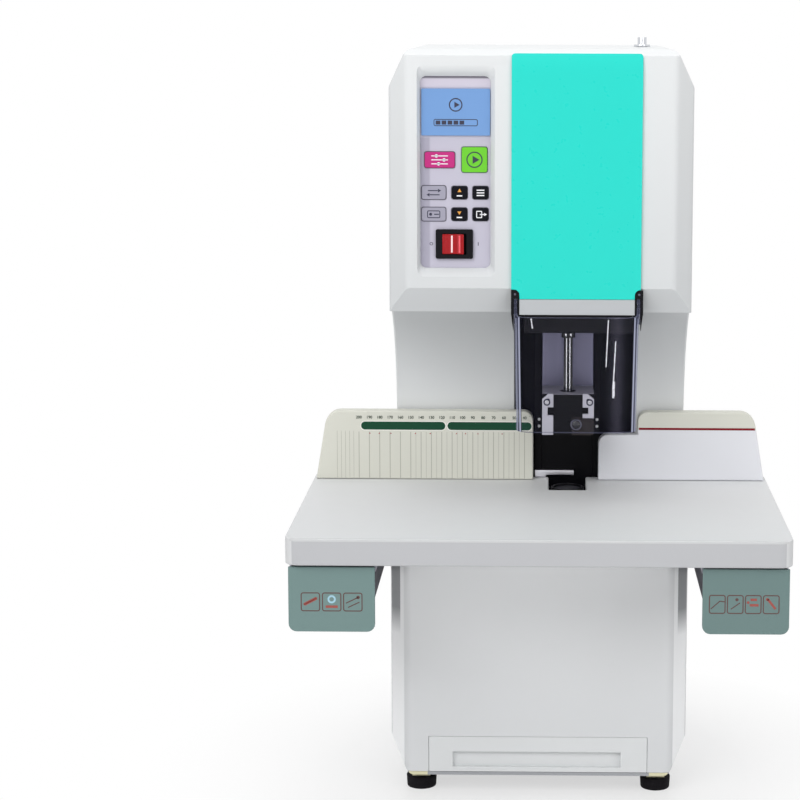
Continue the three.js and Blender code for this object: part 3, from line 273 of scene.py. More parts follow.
def cast(name, code):
    look = Look(name)
    sand = look.noise(520, 4, 0.65)
    base = linear(code)
    look.feed(
        Base_Color=look.mix(sand * 0.6 + look.noise(30, 3) * 0.4, base, toned(base, 1.5, 0.002)),
        Metallic=0.2,
        Specular_IOR_Level=0.2,
        Roughness=look.noise(90, 3) * 0.2 + 0.4,
        Normal=look.bump(sand, 0.5, 0.0002),
    )
    return look


def rubbery(name, code):
    look = Look(name)
    base = linear(code)
    look.feed(
        Base_Color=look.mix(look.noise(160, 4, 0.7), base, toned(base, 1.6, 0.004)),
        Roughness=look.noise(300, 2) * 0.15 + 0.72,
        Specular_IOR_Level=0.12,
        Normal=look.bump(look.noise(1500, 2), 0.5, 0.00008),
    )
    return look


guardLook = {  # metres; its walls spread upwards from the bottom edge
    "centreX": 0.0334,
    "bottomZ": 0.3473,
    "bottomHalf": 0.05525,
    "spread": 0.0163,
    "cornerWidth": 0.0052,
    "cornerRear": -0.0605,
    "frontY": -0.0698,
    "rimZ": (0.3481, 0.4533),
    "paintedCornerBands": (  # painted light and dark lines across a bent corner, from its outer face, given as a glow
        (0.0, "26283a"),
        (0.12, "26283a"),
        (0.18, "8b8fa6"),
        (0.3, "8b8fa6"),
        (0.38, "383b50"),
        (0.6, "383b50"),
        (0.67, "a9adc4"),
        (0.82, "a9adc4"),
        (0.92, "10111a"),
    ),
    "paintedGleams": (  # place, lean, lower end, upper end and half width of each painted reflection line in the front
        (0.0611, 0.042, 0.4086, 0.4519, 0.00042),
        (0.0680, 0.046, 0.3950, 0.4325, 0.00042),
        (0.0672, 0.02, 0.3800, 0.3950, 0.0010),
        (-0.0078, -0.15, 0.4440, 0.4530, 0.0005),
    ),
    "paintedSheen": (0.0705, 0.011),  # painted sheen: middle and half width of a soft pale band
    # emission colours: a painted glow on the cut edges and on the side walls
    "paintedRimGlow": "4c4e62",
    "paintedWallGlow": "6a6e88",
}


def clearPlastic(name, code, rim):  # painted glow at its cut edges and round its corners, where light would run out, and painted reflections in the front
    look = Look(name)
    sizes = guardLook
    x, y, z = look.axes("XYZ")
    facing = look.node("ShaderNodeLayerWeight", {}, {"Blend": 0.3}, "Facing")
    edge = facing * facing * facing
    haze = look.noise(22, 3, 0.6, look.stretched((1, 1, 0.25)))
    low, high = sizes["rimZ"]
    half = (z - sizes["bottomZ"]) * sizes["spread"] + sizes["bottomHalf"]
    inward = (half - abs(x - sizes["centreX"])) / sizes["cornerWidth"]
    corner = (inward < 1) * (y < sizes["cornerRear"]) * (z < high)
    wall = (inward < 1) * (1 - corner) * edge
    # painted light and dark lines across each corner, fed to the emission as a glow
    stops = [(place, linear(code)) for place, code in sizes["paintedCornerBands"]]
    paintedCornerBands = look.node("ShaderNodeValToRGB", {"stops": stops}, {"Fac": inward})
    rims = eitherOf(z < low, z > high) * (1 - corner)
    front = y < sizes["frontY"]
    # painted reflections: thin bright lines in the front
    lines = []
    for place, lean, lower, upper, width in sizes["paintedGleams"]:
        off = abs(x - place - (z - (lower + upper) / 2) * lean)
        lines.append((off < look.noise(420, 2) * width * 2) * between(z, lower, upper))
    gleam = eitherOf(*lines) * front * (look.noise(900, 2, 0.6) > 0.44)
    # a painted sheen: a soft pale band in the front
    middle, reach = sizes["paintedSheen"]
    paintedSheen = clamped(1 - abs(x - middle) / reach) * front * 0.55
    # painted glow, given as emission, on the cut edges, the side walls and the corners
    glow = look.mix(rims, linear("000000"), linear(sizes["paintedRimGlow"]))
    glow = look.mix(corner, look.mix(wall, glow, linear(sizes["paintedWallGlow"])), paintedCornerBands)
    # paler at grazing angles, a painted reflection, and dark on the corners and cut edges
    tone = look.mix(eitherOf(corner, rims), look.mix(edge, linear(code), linear(rim)), linear("15151c"))
    tone = look.mix(paintedSheen, tone, linear("9a96ae"))
    solid = corner * 0.7 + rims * 0.3 + wall * 0.3 + paintedSheen * 0.1 + gleam * 0.75
    look.feed(
        Base_Color=look.mix(gleam, tone, linear("f0f1f8")),
        Roughness=haze * 0.04 + 0.03,
        Alpha=edge * 0.35 + (haze * 0.03 + 0.015) + solid,
        Emission_Color=glow,
        Emission_Strength=1.0,
        Specular_IOR_Level=0.15,
        Normal=look.bump(look.noise(9, 2, 0.4, look.stretched((1, 1, 0.3))), 0.1, 0.0006),
    )
    return look


def threaded(name, code, place, pitch):  # a screw thread round an upright axis, its colour darkened across each turn as painted shade in the groove
    look = ground(name, code, 0.2)
    turn = turnedAbout(look, *place)
    along = (look.axis("Z") / pitch + turn) % 1
    flank = abs(along - 0.5) * 2
    base = linear(code)
    look.feed(
        Base_Color=look.mix(flank, toned(base, 0.25), base),
        Normal=look.bump(flank, 0.9, pitch * 0.35),
    )
    return look


def laminated(name, spanZ, capHeight):  # a small motor: light end caps, stacked sheets between them
    look = cast(name, "26262b")
    z = look.axis("Z")
    stack = between(z, spanZ[0] + capHeight, spanZ[1] - capHeight)
    line = abs((z / 0.0011) % 1 - 0.5) * 2
    cap = look.mix(look.noise(300, 3), linear("8d8f96"), linear("a7a9af"))
    look.feed(
        Base_Color=look.mix(stack, cap, look.mix(line, linear("141418"), linear("34343a"))),
        Metallic=0.75 - stack * 0.3,
        Normal=look.bump(line * stack, 0.5, 0.0003),
    )
    return look


looks = {
    "shell": painted("lightGreyPowderCoat", "dcdedf", 0.46, shine=0.16, coat=0.0),
    "ivory": moulded("ivoryFence", "d3d3c9", 0.42, 900, 0.2),
    "teal": moulded("turquoiseGloss", "1cd2c4", 0.3, 700, 0.04, 0.02, 0.15, 0.3),
    "bin": moulded("greyGreenPlastic", "6f8785", 0.5, 1500, 0.5, shine=0.25),
    "black_paint": painted("satinBlackPaint", "0a0a0e", 0.38, 0.5, 0.2, 0.08, 0.01),
    "black_plastic": moulded("blackPlastic", "0c0c11", 0.42, 1400, 0.5, 0.15, shine=0.12),
    "steel": brushed("brushedZincSteel", "b9b8c4", 0.34, "Z"),
    "chrome": ground("groundSteel", "d9dbe0"),
    "cast": cast("darkCasting", "0b0b10"),
    "panel": moulded("paleMembrane", "bcb9c8", 0.5, 2200, 0.25, shine=0.3),
    "lcd": moulded("displayGlass", "729acf", 0.16, 60, 0.02, shine=0.3),
    "red": moulded("redRocker", "c4121c", 0.26, 900, 0.1, 0.1, 0.4),
    "rubber": rubbery("blackRubber", "0c0a0e"),
    "nylon": moulded("darkNylon", "25252b", 0.55, 900, 0.5, 0.1),
    "clear": clearPlastic("clearGuard", "4a4c62", "ccd6ee"),
    "copper": moulded("varnishedWinding", "a8662f", 0.35, 700, 0.6, 0.3),
    "white_ink": inked("whiteInk", "f0f0f4"),
    "dark_ink": inked("darkInk", "23233a"),
    "lamp_rim": brushed("lampRim", "6a6a78", 0.3, "X"),
    "lamp_glass": moulded("lampGlass", "1a1a24", 0.1, 300, 0.05, 0.1, 0.3, 0.4),
    "circuit": moulded("circuitBoard", "1c5a38", 0.4, 800, 0.3, 0.15),
    "key_pink": moulded("pinkKey", "bb2b79", 0.4, 1200, 0.25, shine=0.25),
    "key_green": moulded("greenKey", "69c62c", 0.4, 1200, 0.25, shine=0.3),
    "key_grey": moulded("greyKey", "9997a7", 0.42, 1200, 0.25),
    "key_black": moulded("blackKey", "0c0c15", 0.4, 1200, 0.25, 0.15, shine=0.1),
}
print("finishes made:", len(looks))


# Pieces: helpers for work by operators.


def letGo():
    if bpy.context.object and bpy.context.object.mode != "OBJECT":
        bpy.ops.object.mode_set(mode="OBJECT")
    bpy.ops.object.select_all(action="DESELECT")


def hold(piece):
    letGo()
    piece.select_set(True)
    bpy.context.view_layer.objects.active = piece


def settle(piece):
    hold(piece)
    bpy.ops.object.transform_apply(location=True, rotation=True, scale=True)


def openMesh(piece):
    hold(piece)
    bpy.ops.object.mode_set(mode="EDIT")
    bpy.ops.mesh.select_all(action="SELECT")


def closeMesh():
    bpy.ops.object.mode_set(mode="OBJECT")


def applied(piece, kind, **settings):
    modifier = piece.modifiers.new("step", kind)
    for setting, value in settings.items():
        setattr(modifier, setting, value)
    hold(piece)
    bpy.ops.object.modifier_apply(modifier="step")


def pick(piece, mode, test):  # in an open mesh, selects what passes the test
    bpy.ops.mesh.select_mode(type=mode)
    shape = bmesh.from_edit_mesh(piece.data)
    kinds = {"VERT": shape.verts, "EDGE": shape.edges, "FACE": shape.faces}
    for parts in kinds.values():
        for part in parts:
            part.select_set(False)
    for part in kinds[mode]:
        if test(part):
            part.select_set(True)
    shape.select_flush_mode()
    bmesh.update_edit_mesh(piece.data)


def finishPiece(piece, name, look, body, smooth=35):
    settle(piece)
    piece.name = name
    piece.data.name = name
    piece.data.materials.clear()
    piece.data.materials.append(look.material)
    bpy.ops.object.shade_smooth_by_angle(angle=math.radians(smooth))
    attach(piece, body)
    return piece


def bevelled(piece, width, segments):
    applied(
        piece,
        "BEVEL",
        width=width,
        segments=segments,
        limit_method="ANGLE",
        angle_limit=math.radians(30),
        use_clamp_overlap=True,
    )


def joined(shapes):
    letGo()
    for shape in shapes:
        shape.select_set(True)
    bpy.context.view_layer.objects.active = shapes[0]
    if len(shapes) > 1:
        bpy.ops.object.join()
    return bpy.context.view_layer.objects.active


def twinOf(piece, name, move, turn=None):
    twin = piece.copy()
    twin.data = piece.data.copy()
    twin.name = name
    twin.data.name = name
    bpy.context.scene.collection.objects.link(twin)
    twin.data.transform(Matrix.Translation(move) @ (turn or Matrix.Identity(4)))
    return twin


def outwards(piece):
    openMesh(piece)
    bpy.ops.mesh.normals_make_consistent(inside=False)
    closeMesh()


def turned(rings, sides=40):  # closed, about Z, from pairs of radius and height in millimetres
    letGo()
    rings = [(radius * mm, height * mm) for radius, height in rings]
    radius, height = rings[0]
    place = (0, 0, height)
    bpy.ops.mesh.primitive_circle_add(vertices=sides, radius=radius, location=place, fill_type="NGON")
    shape = bpy.context.object
    settle(shape)
    openMesh(shape)
    for nextRadius, nextHeight in rings[1:]:
        bpy.ops.mesh.extrude_region_move(TRANSFORM_OT_translate={"value": (0, 0, nextHeight - height)})
        bpy.ops.transform.resize(value=(nextRadius / radius, nextRadius / radius, 1))
        radius, height = nextRadius, nextHeight
    closeMesh()
    outwards(shape)
    return shape


def flatSheet(width, height, turn=(0, 0, 0), place=(0, 0, 0)):  # in millimetres
    letGo()
    bpy.ops.mesh.primitive_plane_add(size=1, location=[v * mm for v in place], rotation=turn)
    sheet = bpy.context.object
    sheet.scale = (width * mm, height * mm, 1)
    settle(sheet)
    return sheet


def flatShape(kind, sizes):  # in the XZ plane round the origin, facing the front, in millimetres
    upright = (math.pi / 2, 0, 0)
    if kind in ("bar", "frame"):
        shape = flatSheet(*sizes[:2], upright)
    else:
        letGo()
        sides = 3 if kind == "triangle" else 36
        reach = sizes[0] * mm
        bpy.ops.mesh.primitive_circle_add(vertices=sides, radius=reach, rotation=upright, fill_type="NGON")
        shape = bpy.context.object
        settle(shape)
    if kind in ("frame", "ring"):
        openMesh(shape)
        if kind == "frame":
            bpy.ops.mesh.bevel(offset=sizes[3] * mm, segments=4, affect="VERTICES")
            bpy.ops.mesh.select_all(action="SELECT")
        bpy.ops.mesh.inset(thickness=sizes[2 if kind == "frame" else 1] * mm)
        bpy.ops.mesh.delete(type="FACE")
        closeMesh()
    return shape


inkDepth = {"thick": 0.08, "sunk": 0.03}


def stencil(name, strokes, centre, front, look, body, slot, thick=inkDepth["thick"]):  # a thin printed sign
    made = []
    for kind, x, z, turn, *sizes in strokes:
        shape = flatShape(kind, sizes)
        spin = Matrix.Rotation(math.radians(turn), 4, "Y")
        shape.data.transform(Matrix.Translation((x * mm, 0, z * mm)) @ spin)
        made.append(shape)
    sign = joined(made)
    sign.data.transform(Matrix.Translation((centre[0], front - thick * mm, centre[1])))
    applied(sign, "SOLIDIFY", thickness=(thick + inkDepth["sunk"]) * mm)
    return finishPiece(sign, name, look, body, 20)


# Edge rounds that the sharp solids of the frame get in the looks.

edgeRounds = {  # width in millimetres, and segments
    "body_cover": (1.2, 2),
    "head_front_cover": (1.2, 2),
    "lower_cover": (1.2, 2),
    "rear_cover": (0.9, 1),
    "base_plate": (0.8, 2),
    "table_top": (2.4, 3),
    "fence_left": (1.4, 3),
    "fence_right": (1.4, 3),
    "storage_bin_left": (0.7, 2),
    "storage_bin_right": (0.7, 2),
    "chip_drawer": (0.9, 2),
    "c_frame": (0.8, 2),
    "die_holder": (0.6, 2),
    "cutting_pad": (0.4, 2),
    "back_stop": (0.7, 2),
    "head_casting": (1.4, 2),
    "press_block": (0.7, 2),
    "press_plate_left": (0.4, 2),
    "press_plate_right": (0.4, 2),
    "press_slide": (0.5, 2),
    "front_strip": (0.6, 2),
    "control_panel": (0.25, 1),
    "lcd_screen": (0.3, 2),
    "rocker_bezel": (0.6, 2),
    "power_rocker": (0.5, 2),
    "guard": (0.5, 2),
    "guard_hinge_left": (0.9, 2),
    "guard_hinge_right": (0.9, 2),
    **{f"rubber_foot_{end}_{side}": (1.0, 2) for end in ("front", "rear") for side in ("left", "right")},
    "power_inlet": (0.4, 2),
    "tube_nozzle": (0.4, 2),
    "hollow_drill": (0.3, 2),
    "spindle": (0.4, 2),
    **{part: (0.45, 2) for part in slotOf if part.endswith("_key")},
}


hingeNotch = {"gap": 0.3, "gapAbove": 0.6, "round": 5.3, "segments": 8, "reach": 0.05}


def roundNotches(strip):  # the strip follows the round corner of each hinge block
    sizes = hingeNotch
    inner, top = (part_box("guard_hinge_left")[1][i] for i in (0, 2))
    corners = (inner + sizes["gap"] * mm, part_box("guard_hinge_right")[0][0] - sizes["gap"] * mm)
    cornerZ, reach = top + sizes["gapAbove"] * mm, sizes["reach"] * mm

    def atCorner(vert):
        return abs(vert.co.z - cornerZ) < reach and min(abs(vert.co.x - x) for x in corners) < reach

    pick(strip, "EDGE", lambda e: all(atCorner(vert) for vert in e.verts))
    bpy.ops.mesh.bevel(offset=sizes["round"] * mm, segments=sizes["segments"], affect="EDGES")


cleaning = {"weld": 0.00002, "flatWithin": 0.6}  # metres, and degrees


def softened(node, width, segments):
    piece = nodes[node].copy()
    piece.data = nodes[node].data.copy()
    piece.parent = None
    piece.matrix_world = Matrix.Identity(4)
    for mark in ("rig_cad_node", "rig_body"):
        if mark in piece:
            del piece[mark]
    piece.name = node + "_rounded"
    bpy.context.scene.collection.objects.link(piece)
    openMesh(piece)
    bpy.ops.mesh.remove_doubles(threshold=cleaning["weld"])
    bpy.ops.mesh.dissolve_limited(angle_limit=math.radians(cleaning["flatWithin"]))
    if node == "front_strip":
        roundNotches(piece)
    closeMesh()
    bevelled(piece, width * mm, segments)
    finishPiece(piece, node + "_rounded", looks[slotOf[node]], bodyOf[node])
    applied(piece, "WEIGHTED_NORMAL", keep_sharp=True)
    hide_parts(node)
    return piece


rounded = {}
for node, (width, segments) in edgeRounds.items():
    rounded[node] = softened(node, width, segments)
for node, solid in nodes.items():
    if node not in rounded:
        solid.data.materials.clear()
        solid.data.materials.append(looks[slotOf[node]].material)
print("edges rounded:", len(rounded))


# Nodes with a finish of their own.


def dress(node, look):
    piece = rounded.get(node, nodes[node])
    piece.data.materials.clear()
    piece.data.materials.append(look.material)


baseMarks = {"tabX": 0.1128, "tabHalf": 0.0088, "tabRear": -0.06, "bossTop": 0.0188}


def bossedBase():  # a plate painted a darker grey as shade under the body, and cream bosses over the feet with their front edge
    sizes = baseMarks
    look = painted("paintedBaseWithBosses", "a2a4a8", shine=0.2, coat=0.0)
    x, y, z = look.axes("XYZ")
    tab = (abs(abs(x) - sizes["tabX"]) < sizes["tabHalf"]) * (y < sizes["tabRear"])
    boss = eitherOf(z < sizes["bossTop"], tab)
    look.lay(boss, look.mix(look.noise(160, 3), linear("d3cfab"), linear("e0dcbc")))
    return look


rockerMarks = {
    "centreZ": 0.5197,
    "halfHeight": 0.0078,
    "barX": (-0.0817, -0.0802),
    "highlightX": (-0.0747, -0.0731),
    "ribPitch": 0.0012,
}


def markedRocker():  # ribs darkened between them as painted shade, a white bar that is both a mark and a painted highlight, and a paler rib beside it, a painted highlight
    sizes = rockerMarks
    look = moulded("redRocker", "b40a16", 0.3, 900, 0.08, 0.1, 0.1, 0.15)
    x, z = look.axes("XZ")
    high = abs(z - sizes["centreZ"]) < sizes["halfHeight"]
    bar = between(x, *sizes["barX"]) * high
    paintedHighlight = between(x, *sizes["highlightX"]) * high
    rib = abs((x / sizes["ribPitch"]) % 1 - 0.5) * 2
    # painted shade between the ribs
    look.lay(rib * 0.6, "5c0810")
    # a painted highlight beside the bar
    look.lay(paintedHighlight, "e2505c")
    look.lay(bar, "f6dcde")
    look.feed(Normal=look.bump(rib, 0.4, 0.0003))
    return look


boardMarks = {
    "lanePitch": 0.0042,
    "laneHalf": 0.09,
    "padScale": 190.0,
    "padReach": 0.16,
    "lanesZ": (0.31, 0.382),
}


def tracedBoard():  # wavering copper lanes and round pads
    sizes = boardMarks
    look = moulded("tracedBoard", "1c5a38", 0.35, 800, 0.2, 0.15, 0.3)
    x, z = look.axes("XZ")
    lanes = abs((x / sizes["lanePitch"] + look.noise(60, 0) * 1.5) % 1 - 0.5) < sizes["laneHalf"]
    cells = look.node("ShaderNodeTexVoronoi", {}, {"Vector": look.place, "Scale": sizes["padScale"]})
    pads = cells < sizes["padReach"]
    copper = lanes * between(z, *sizes["lanesZ"])
    green = look.mix(copper, linear("1a5434"), linear("3a8a58"))
    look.feed(Base_Color=look.mix(pads, green, linear("c9c39a")), Metallic=pads * 0.8)
    return look


blockMarks = {"housingLeft": 0.0299, "housingTop": 0.3513, "edgeHighlightFrom": 0.3727}


def heatedBlock():  # dark block, a worn lamp housing low on it, and a painted highlight along its upper edge
    sizes = blockMarks
    look = painted("heatedBlock", "09090c", 0.36, 0.4, 0.25, 0.1, 0.02)
    x, z = look.axes("XZ")
    housing = (x > sizes["housingLeft"]) * (z < sizes["housingTop"])
    look.lay(housing * (look.noise(240, 4, 0.7) * 0.8 + 0.2), "3d3839")
    # painted highlight along the top edge
    look.lay(z > sizes["edgeHighlightFrom"], "7c7a86")
    return look


def matt(name, code, shine=0.16):  # the covers' paint
    return painted(name, code, 0.46, shine=shine, coat=0.0)


tableMarks = {
    "frontShadeY": -0.2136,
    "fadeFrom": -0.02,
    "fadeOver": 0.19,
    "fade": 0.2,
    "edgeHighlightY": -0.2124,
    "edgeHighlightZ": 0.2784,
}


def edgedTable():  # painted shade: darker towards the front and on the front face, with a painted highlight on the soft arris at the front edge
    sizes = tableMarks
    look = matt("tableWithEdge", "d6d7d8", 0.1)
    y, z = look.axes("YZ")
    # painted shade on the front face and towards the front
    look.lay(eitherOf(y < sizes["frontShadeY"], fading(sizes, y)), "b6b7ba")
    # painted highlight along the arris
    look.lay((y < sizes["edgeHighlightY"]) * (z > sizes["edgeHighlightZ"]) * 0.9, "c6c7c8")
    return look


coverMarks = {
    "lipCentre": 0.0334,
    "lipHalf": 0.0535,
    "lipFront": -0.0672,
    "lipTop": 0.4704,
    "fadeFrom": 0.69,
    "fadeOver": 0.22,
    "fade": 0.36,
}


def lippedCover():  # painted shade: darker downwards, and darker still on the lip under the strip
    sizes = coverMarks
    look = matt("coverWithLip", "dcdedf")
    x, y, z = look.axes("XYZ")
    across = abs(x - sizes["lipCentre"]) < sizes["lipHalf"]
    lip = across * (y < sizes["lipFront"]) * (z < sizes["lipTop"])
    look.lay(eitherOf(lip, fading(sizes, z)), "b4b7ba")
    return look


columnMarks = {"from": 0.36, "over": 0.08, "headBottom": 0.4561, "half": 0.1375, "fade": 0.4}


def shadedColumn():  # painted shadow: the cover is darker in the throat, below the head
    sizes = columnMarks
    look = matt("coverWithThroat", "dcdedf")
    x, z = look.axes("XZ")
    throat = (z < sizes["headBottom"]) * (abs(x) < sizes["half"])
    look.lay(clamped((z - sizes["from"]) / sizes["over"]) * throat * sizes["fade"], "a4a7aa")
    return look


lowerMarks = {
    "fadeFrom": 0.25,
    "fadeOver": 0.2,
    "fade": 0.46,
    "cornerX": 0.126,
    "cornerY": -0.05,
    "shadowX": 0.1296,
    "shadowFrom": 0.153,
    "shadowOver": 0.025,
}


def shadedLower():  # painted shade: darker downwards, with a painted highlight on the front corners and a painted shadow on them right under the table
    sizes = lowerMarks
    look = matt("lowerCoverPaint", "f0f1f2")
    x, y, z = look.axes("XYZ")
    look.lay(fading(sizes, z), "b4b7ba")
    corner = (abs(x) > sizes["cornerX"]) * (y < sizes["cornerY"])
    # painted highlight on the front corners
    look.lay(corner * 0.9, "f8f9fa")
    rise = clamped((z - sizes["shadowFrom"]) / sizes["shadowOver"])
    # painted shadow on the corners right under the table
    look.lay(corner * (abs(x) > sizes["shadowX"]) * rise * 0.75, "5e6166")
    return look


panelMarks = {
    "leftX": -0.1003,
    "leftShadeOver": 0.0015,
    "leftShadeTop": 0.6165,
    "paintedLightFrom": 0.662,
    "topShadowFrom": 0.6692,
    "topShadowOver": 0.0014,
}


def shadedPanel():  # painted light: paler above the display, painted shade along its left side, and a painted shadow in the upper gap
    sizes = panelMarks
    look = moulded("paleMembrane", "bcb9c8", 0.5, 2200, 0.25, shine=0.3)
    x, z = look.axes("XZ")
    # painted shade along the left side
    left = clamped((sizes["leftX"] - x) / sizes["leftShadeOver"]) * (z < sizes["leftShadeTop"])
    look.lay(left * 0.42, "7d7a8e")
    look.lay((z > sizes["paintedLightFrom"]) * 0.36, "dcd2de")
    look.lay(clamped((z - sizes["topShadowFrom"]) / sizes["topShadowOver"]) * 0.8, "3b3845")
    return look


binMarks = {"frontDepth": 0.0045, "rightShade": 0.16}


def frontedBin():  # painted shade on the bin's body behind the grey-green front, and the right bin painted a little darker as shade
    sizes = binMarks
    look = moulded("frontedBin", "6f8785", 0.5, 1500, 0.5, shine=0.25)
    x, y = look.axes("XY")
    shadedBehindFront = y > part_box("storage_bin_left")[0][1] + sizes["frontDepth"]
    look.lay((x > 0) * sizes["rightShade"], "3f4a4c")
    # painted shade on the bin's body behind its front
    look.lay(shadedBehindFront, look.mix(look.noise(24, 3, 0.6), linear("2c2a38"), linear("35333f")))
    return look


drillLook = {
    "place": (0.0264, 0.007),
    "lands": 8,
    "landShare": 0.125,
    "collar": 0.4246,
    "dotZ": (0.4266, 0.4288),
}


def flutedDrill():  # polished lands between dark flutes, under a black collar with bright dots: a fluted pattern whose bright lands and dots also stand in for reflections, painted reflections
    sizes = drillLook
    look = ground("flutedDrill", "e6e6ee", 0.2)
    turn = turnedAbout(look, *sizes["place"])
    land = abs((turn * sizes["lands"]) % 1 - 0.5) < sizes["landShare"]
    z = look.axis("Z")
    # painted reflections: the lands are bright below the collar and in a band of dots on it
    lit = land * eitherOf(z < sizes["collar"], between(z, *sizes["dotZ"]))
    look.feed(Base_Color=look.mix(lit, linear("121218"), look.plain()), Metallic=0.4 + lit * 0.6)
    return look


dress("base_plate", bossedBase())
dress("power_rocker", markedRocker())
dress("control_board", tracedBoard())
dress("press_block", heatedBlock())
for node, name, cap in (
    ("lift_motor", "liftMotorStack", 0.009),
    ("press_motor", "pressMotorStack", 0.009),
    ("power_transformer", "transformerStack", 0.0),
):
    dress(node, laminated(name, [corner[2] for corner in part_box(node)], cap))
dress("hollow_drill", flutedDrill())
dress("press_slide", brushed("dullPressSlide", "77768c", 0.4, "Z"))
dress("back_stop", brushed("brightStop", "f6f5fc", 0.3, "X"))
dress("table_top", edgedTable())
dress("head_front_cover", lippedCover())
dress("body_cover", shadedColumn())
dress("lower_cover", shadedLower())
dress("control_panel", shadedPanel())
binLook = frontedBin()
for side in ("left", "right"):
    dress(f"storage_bin_{side}", binLook)
feedThread = {"colour": "a9abb2", "axis": (0.0264, 0.06), "pitch": 0.004}
for node, name in (("lift_screw", "liftScrewThread"), ("press_screw", "pressScrewThread")):
    dress(node, threaded(name, feedThread["colour"], feedThread["axis"], feedThread["pitch"]))
print("single finishes given")


# Printed scale and bars on the fences.

fencePrint = {  # metres, heights from the table
    "front": 0.0331,
    "table": 0.281,
    "firstLine": -0.1749,
    "lastLine": -0.0154,
    "pitch": 0.01,
    "line": 0.00035,
    "lineZ": (0.001, 0.0468),
    "margin": 0.001,
    "minorFrom": -0.121,
    "bars": ((-0.1735, -0.0908), (-0.0900, -0.0075)),
    "barZ": (0.0481, 0.0573),
    "outline": 0.0006,
    "redX": (0.0934, 0.2108),
    "redZ": (0.0498, 0.0520),
}


def printedFence():
    sizes = fencePrint
    look = moulded("ivoryFencePrinted", "d3d3c9", 0.42, 900, 0.2, shine=0.2)
    x, y, z = look.axes("XYZ")
    z = z - sizes["table"]
    front = y < sizes["front"]
    step = abs((x - sizes["firstLine"] + sizes["pitch"] / 2) % sizes["pitch"] - sizes["pitch"] / 2)
    margin = sizes["margin"]
    ruled = between(x, sizes["firstLine"] - margin, sizes["lastLine"] + margin)
    ruled = ruled * between(z, *sizes["lineZ"])
    major = (step < sizes["line"]) * ruled
    half = abs((x - sizes["firstLine"]) % sizes["pitch"] - sizes["pitch"] / 2)
    minor = (half < sizes["line"] * 0.8) * ruled * (x > sizes["minorFrom"])
    ink = eitherOf(major * 0.42, minor * 0.26)
    centreZ = sum(sizes["barZ"]) / 2
    halfZ = (sizes["barZ"][1] - sizes["barZ"][0]) / 2
    aways = []
    for low, high in sizes["bars"]:
        reach = calc("MAXIMUM", abs(x - (low + high) / 2) - ((high - low) / 2 - halfZ), 0.0)
        aways.append(calc("SQRT", reach * reach + (z - centreZ) * (z - centreZ)))
    green = eitherOf(*(away < halfZ - sizes["outline"] for away in aways))
    white = eitherOf(*(away < halfZ for away in aways))
    red = between(x, *sizes["redX"]) * between(z, *sizes["redZ"])
    below = (x > 0) * (z < sizes["redZ"][0])
    look.lay(below, "dcdde2")
    look.lay(ink * front, "4d4a36")
    look.lay(white * front, "f2f2ec")
    look.lay(green * front, "04402a")
    look.lay(red * front, "7a0018")
    return look


fenceLook = printedFence()
for side in ("left", "right"):
    dress(f"fence_{side}", fenceLook)

fenceMarks = {  # millimetres, the points from the first line of the scale
    "points": (10.53, 19.61, 30.91, 54.58, 68.88, 94.28, 103.07, 114.95, 138.33),
    "pointSize": 0.9,
    "clear": 0.1,
    "pointsZ": 326.2,
    "dot": (-9.8, 343.8, 0.6),
    "sideLinesX": (-196, -192, -188, -184, -180),
    "sideLine": (0.24, 46),
    "sideLinesZ": 305.6,
}


def makeFenceMarks():
    sizes = fenceMarks
    place = ((0, 0), fencePrint["front"] - sizes["clear"] * mm)
    red = inked("redInk", "9a1626")
    grey = inked("greyInk", "96958a")
    first = fencePrint["firstLine"] / mm
    points = [("triangle", first + x, sizes["pointsZ"], 0, sizes["pointSize"]) for x in sizes["points"]]
    stencil("fence_points", points, *place, red, "machine_body", "ivory")
    lines = [("bar", x, sizes["sideLinesZ"], 0, *sizes["sideLine"]) for x in sizes["sideLinesX"]]
    dotX, dotZ, dotSize = sizes["dot"]
    lines.append(("disc", dotX, dotZ, 0, dotSize))
    stencil("fence_side_lines", lines, *place, grey, "machine_body", "ivory")


makeFenceMarks()

scaleNumbers = {
    "first": 200,
    "step": 10,
    "count": 17,
    "height": 0.0038,
    "bold": 0.00007,
    "above": 0.0597,
    "front": 0.033,
    "thick": 0.00012,
}


def makeScaleNumbers():
    sizes = scaleNumbers
    inkLook = moulded("scaleInk", "12301c", 0.5, 900, 0.1)
    letGo()
    y, z = sizes["front"] - sizes["thick"], fencePrint["table"] + sizes["above"]
    made = []
    for index in range(sizes["count"]):
        x = fencePrint["firstLine"] + index * fencePrint["pitch"]
        bpy.ops.object.text_add(location=(x, y, z), rotation=(math.pi / 2, 0, 0))
        text = bpy.context.object
        text.data.body = str(sizes["first"] - index * sizes["step"])
        text.data.size = sizes["height"]
        text.data.offset = sizes["bold"]
        text.data.align_x = "CENTER"
        text.data.extrude = sizes["thick"] / 2
        hold(text)
        bpy.ops.object.convert(target="MESH")
        settle(bpy.context.object)
        made.append(bpy.context.object)
    finishPiece(joined(made), "scale_numbers", inkLook, "machine_body", 20)


makeScaleNumbers()
print("fences printed")


# Signs on the keys, the panel, the display and the bins.

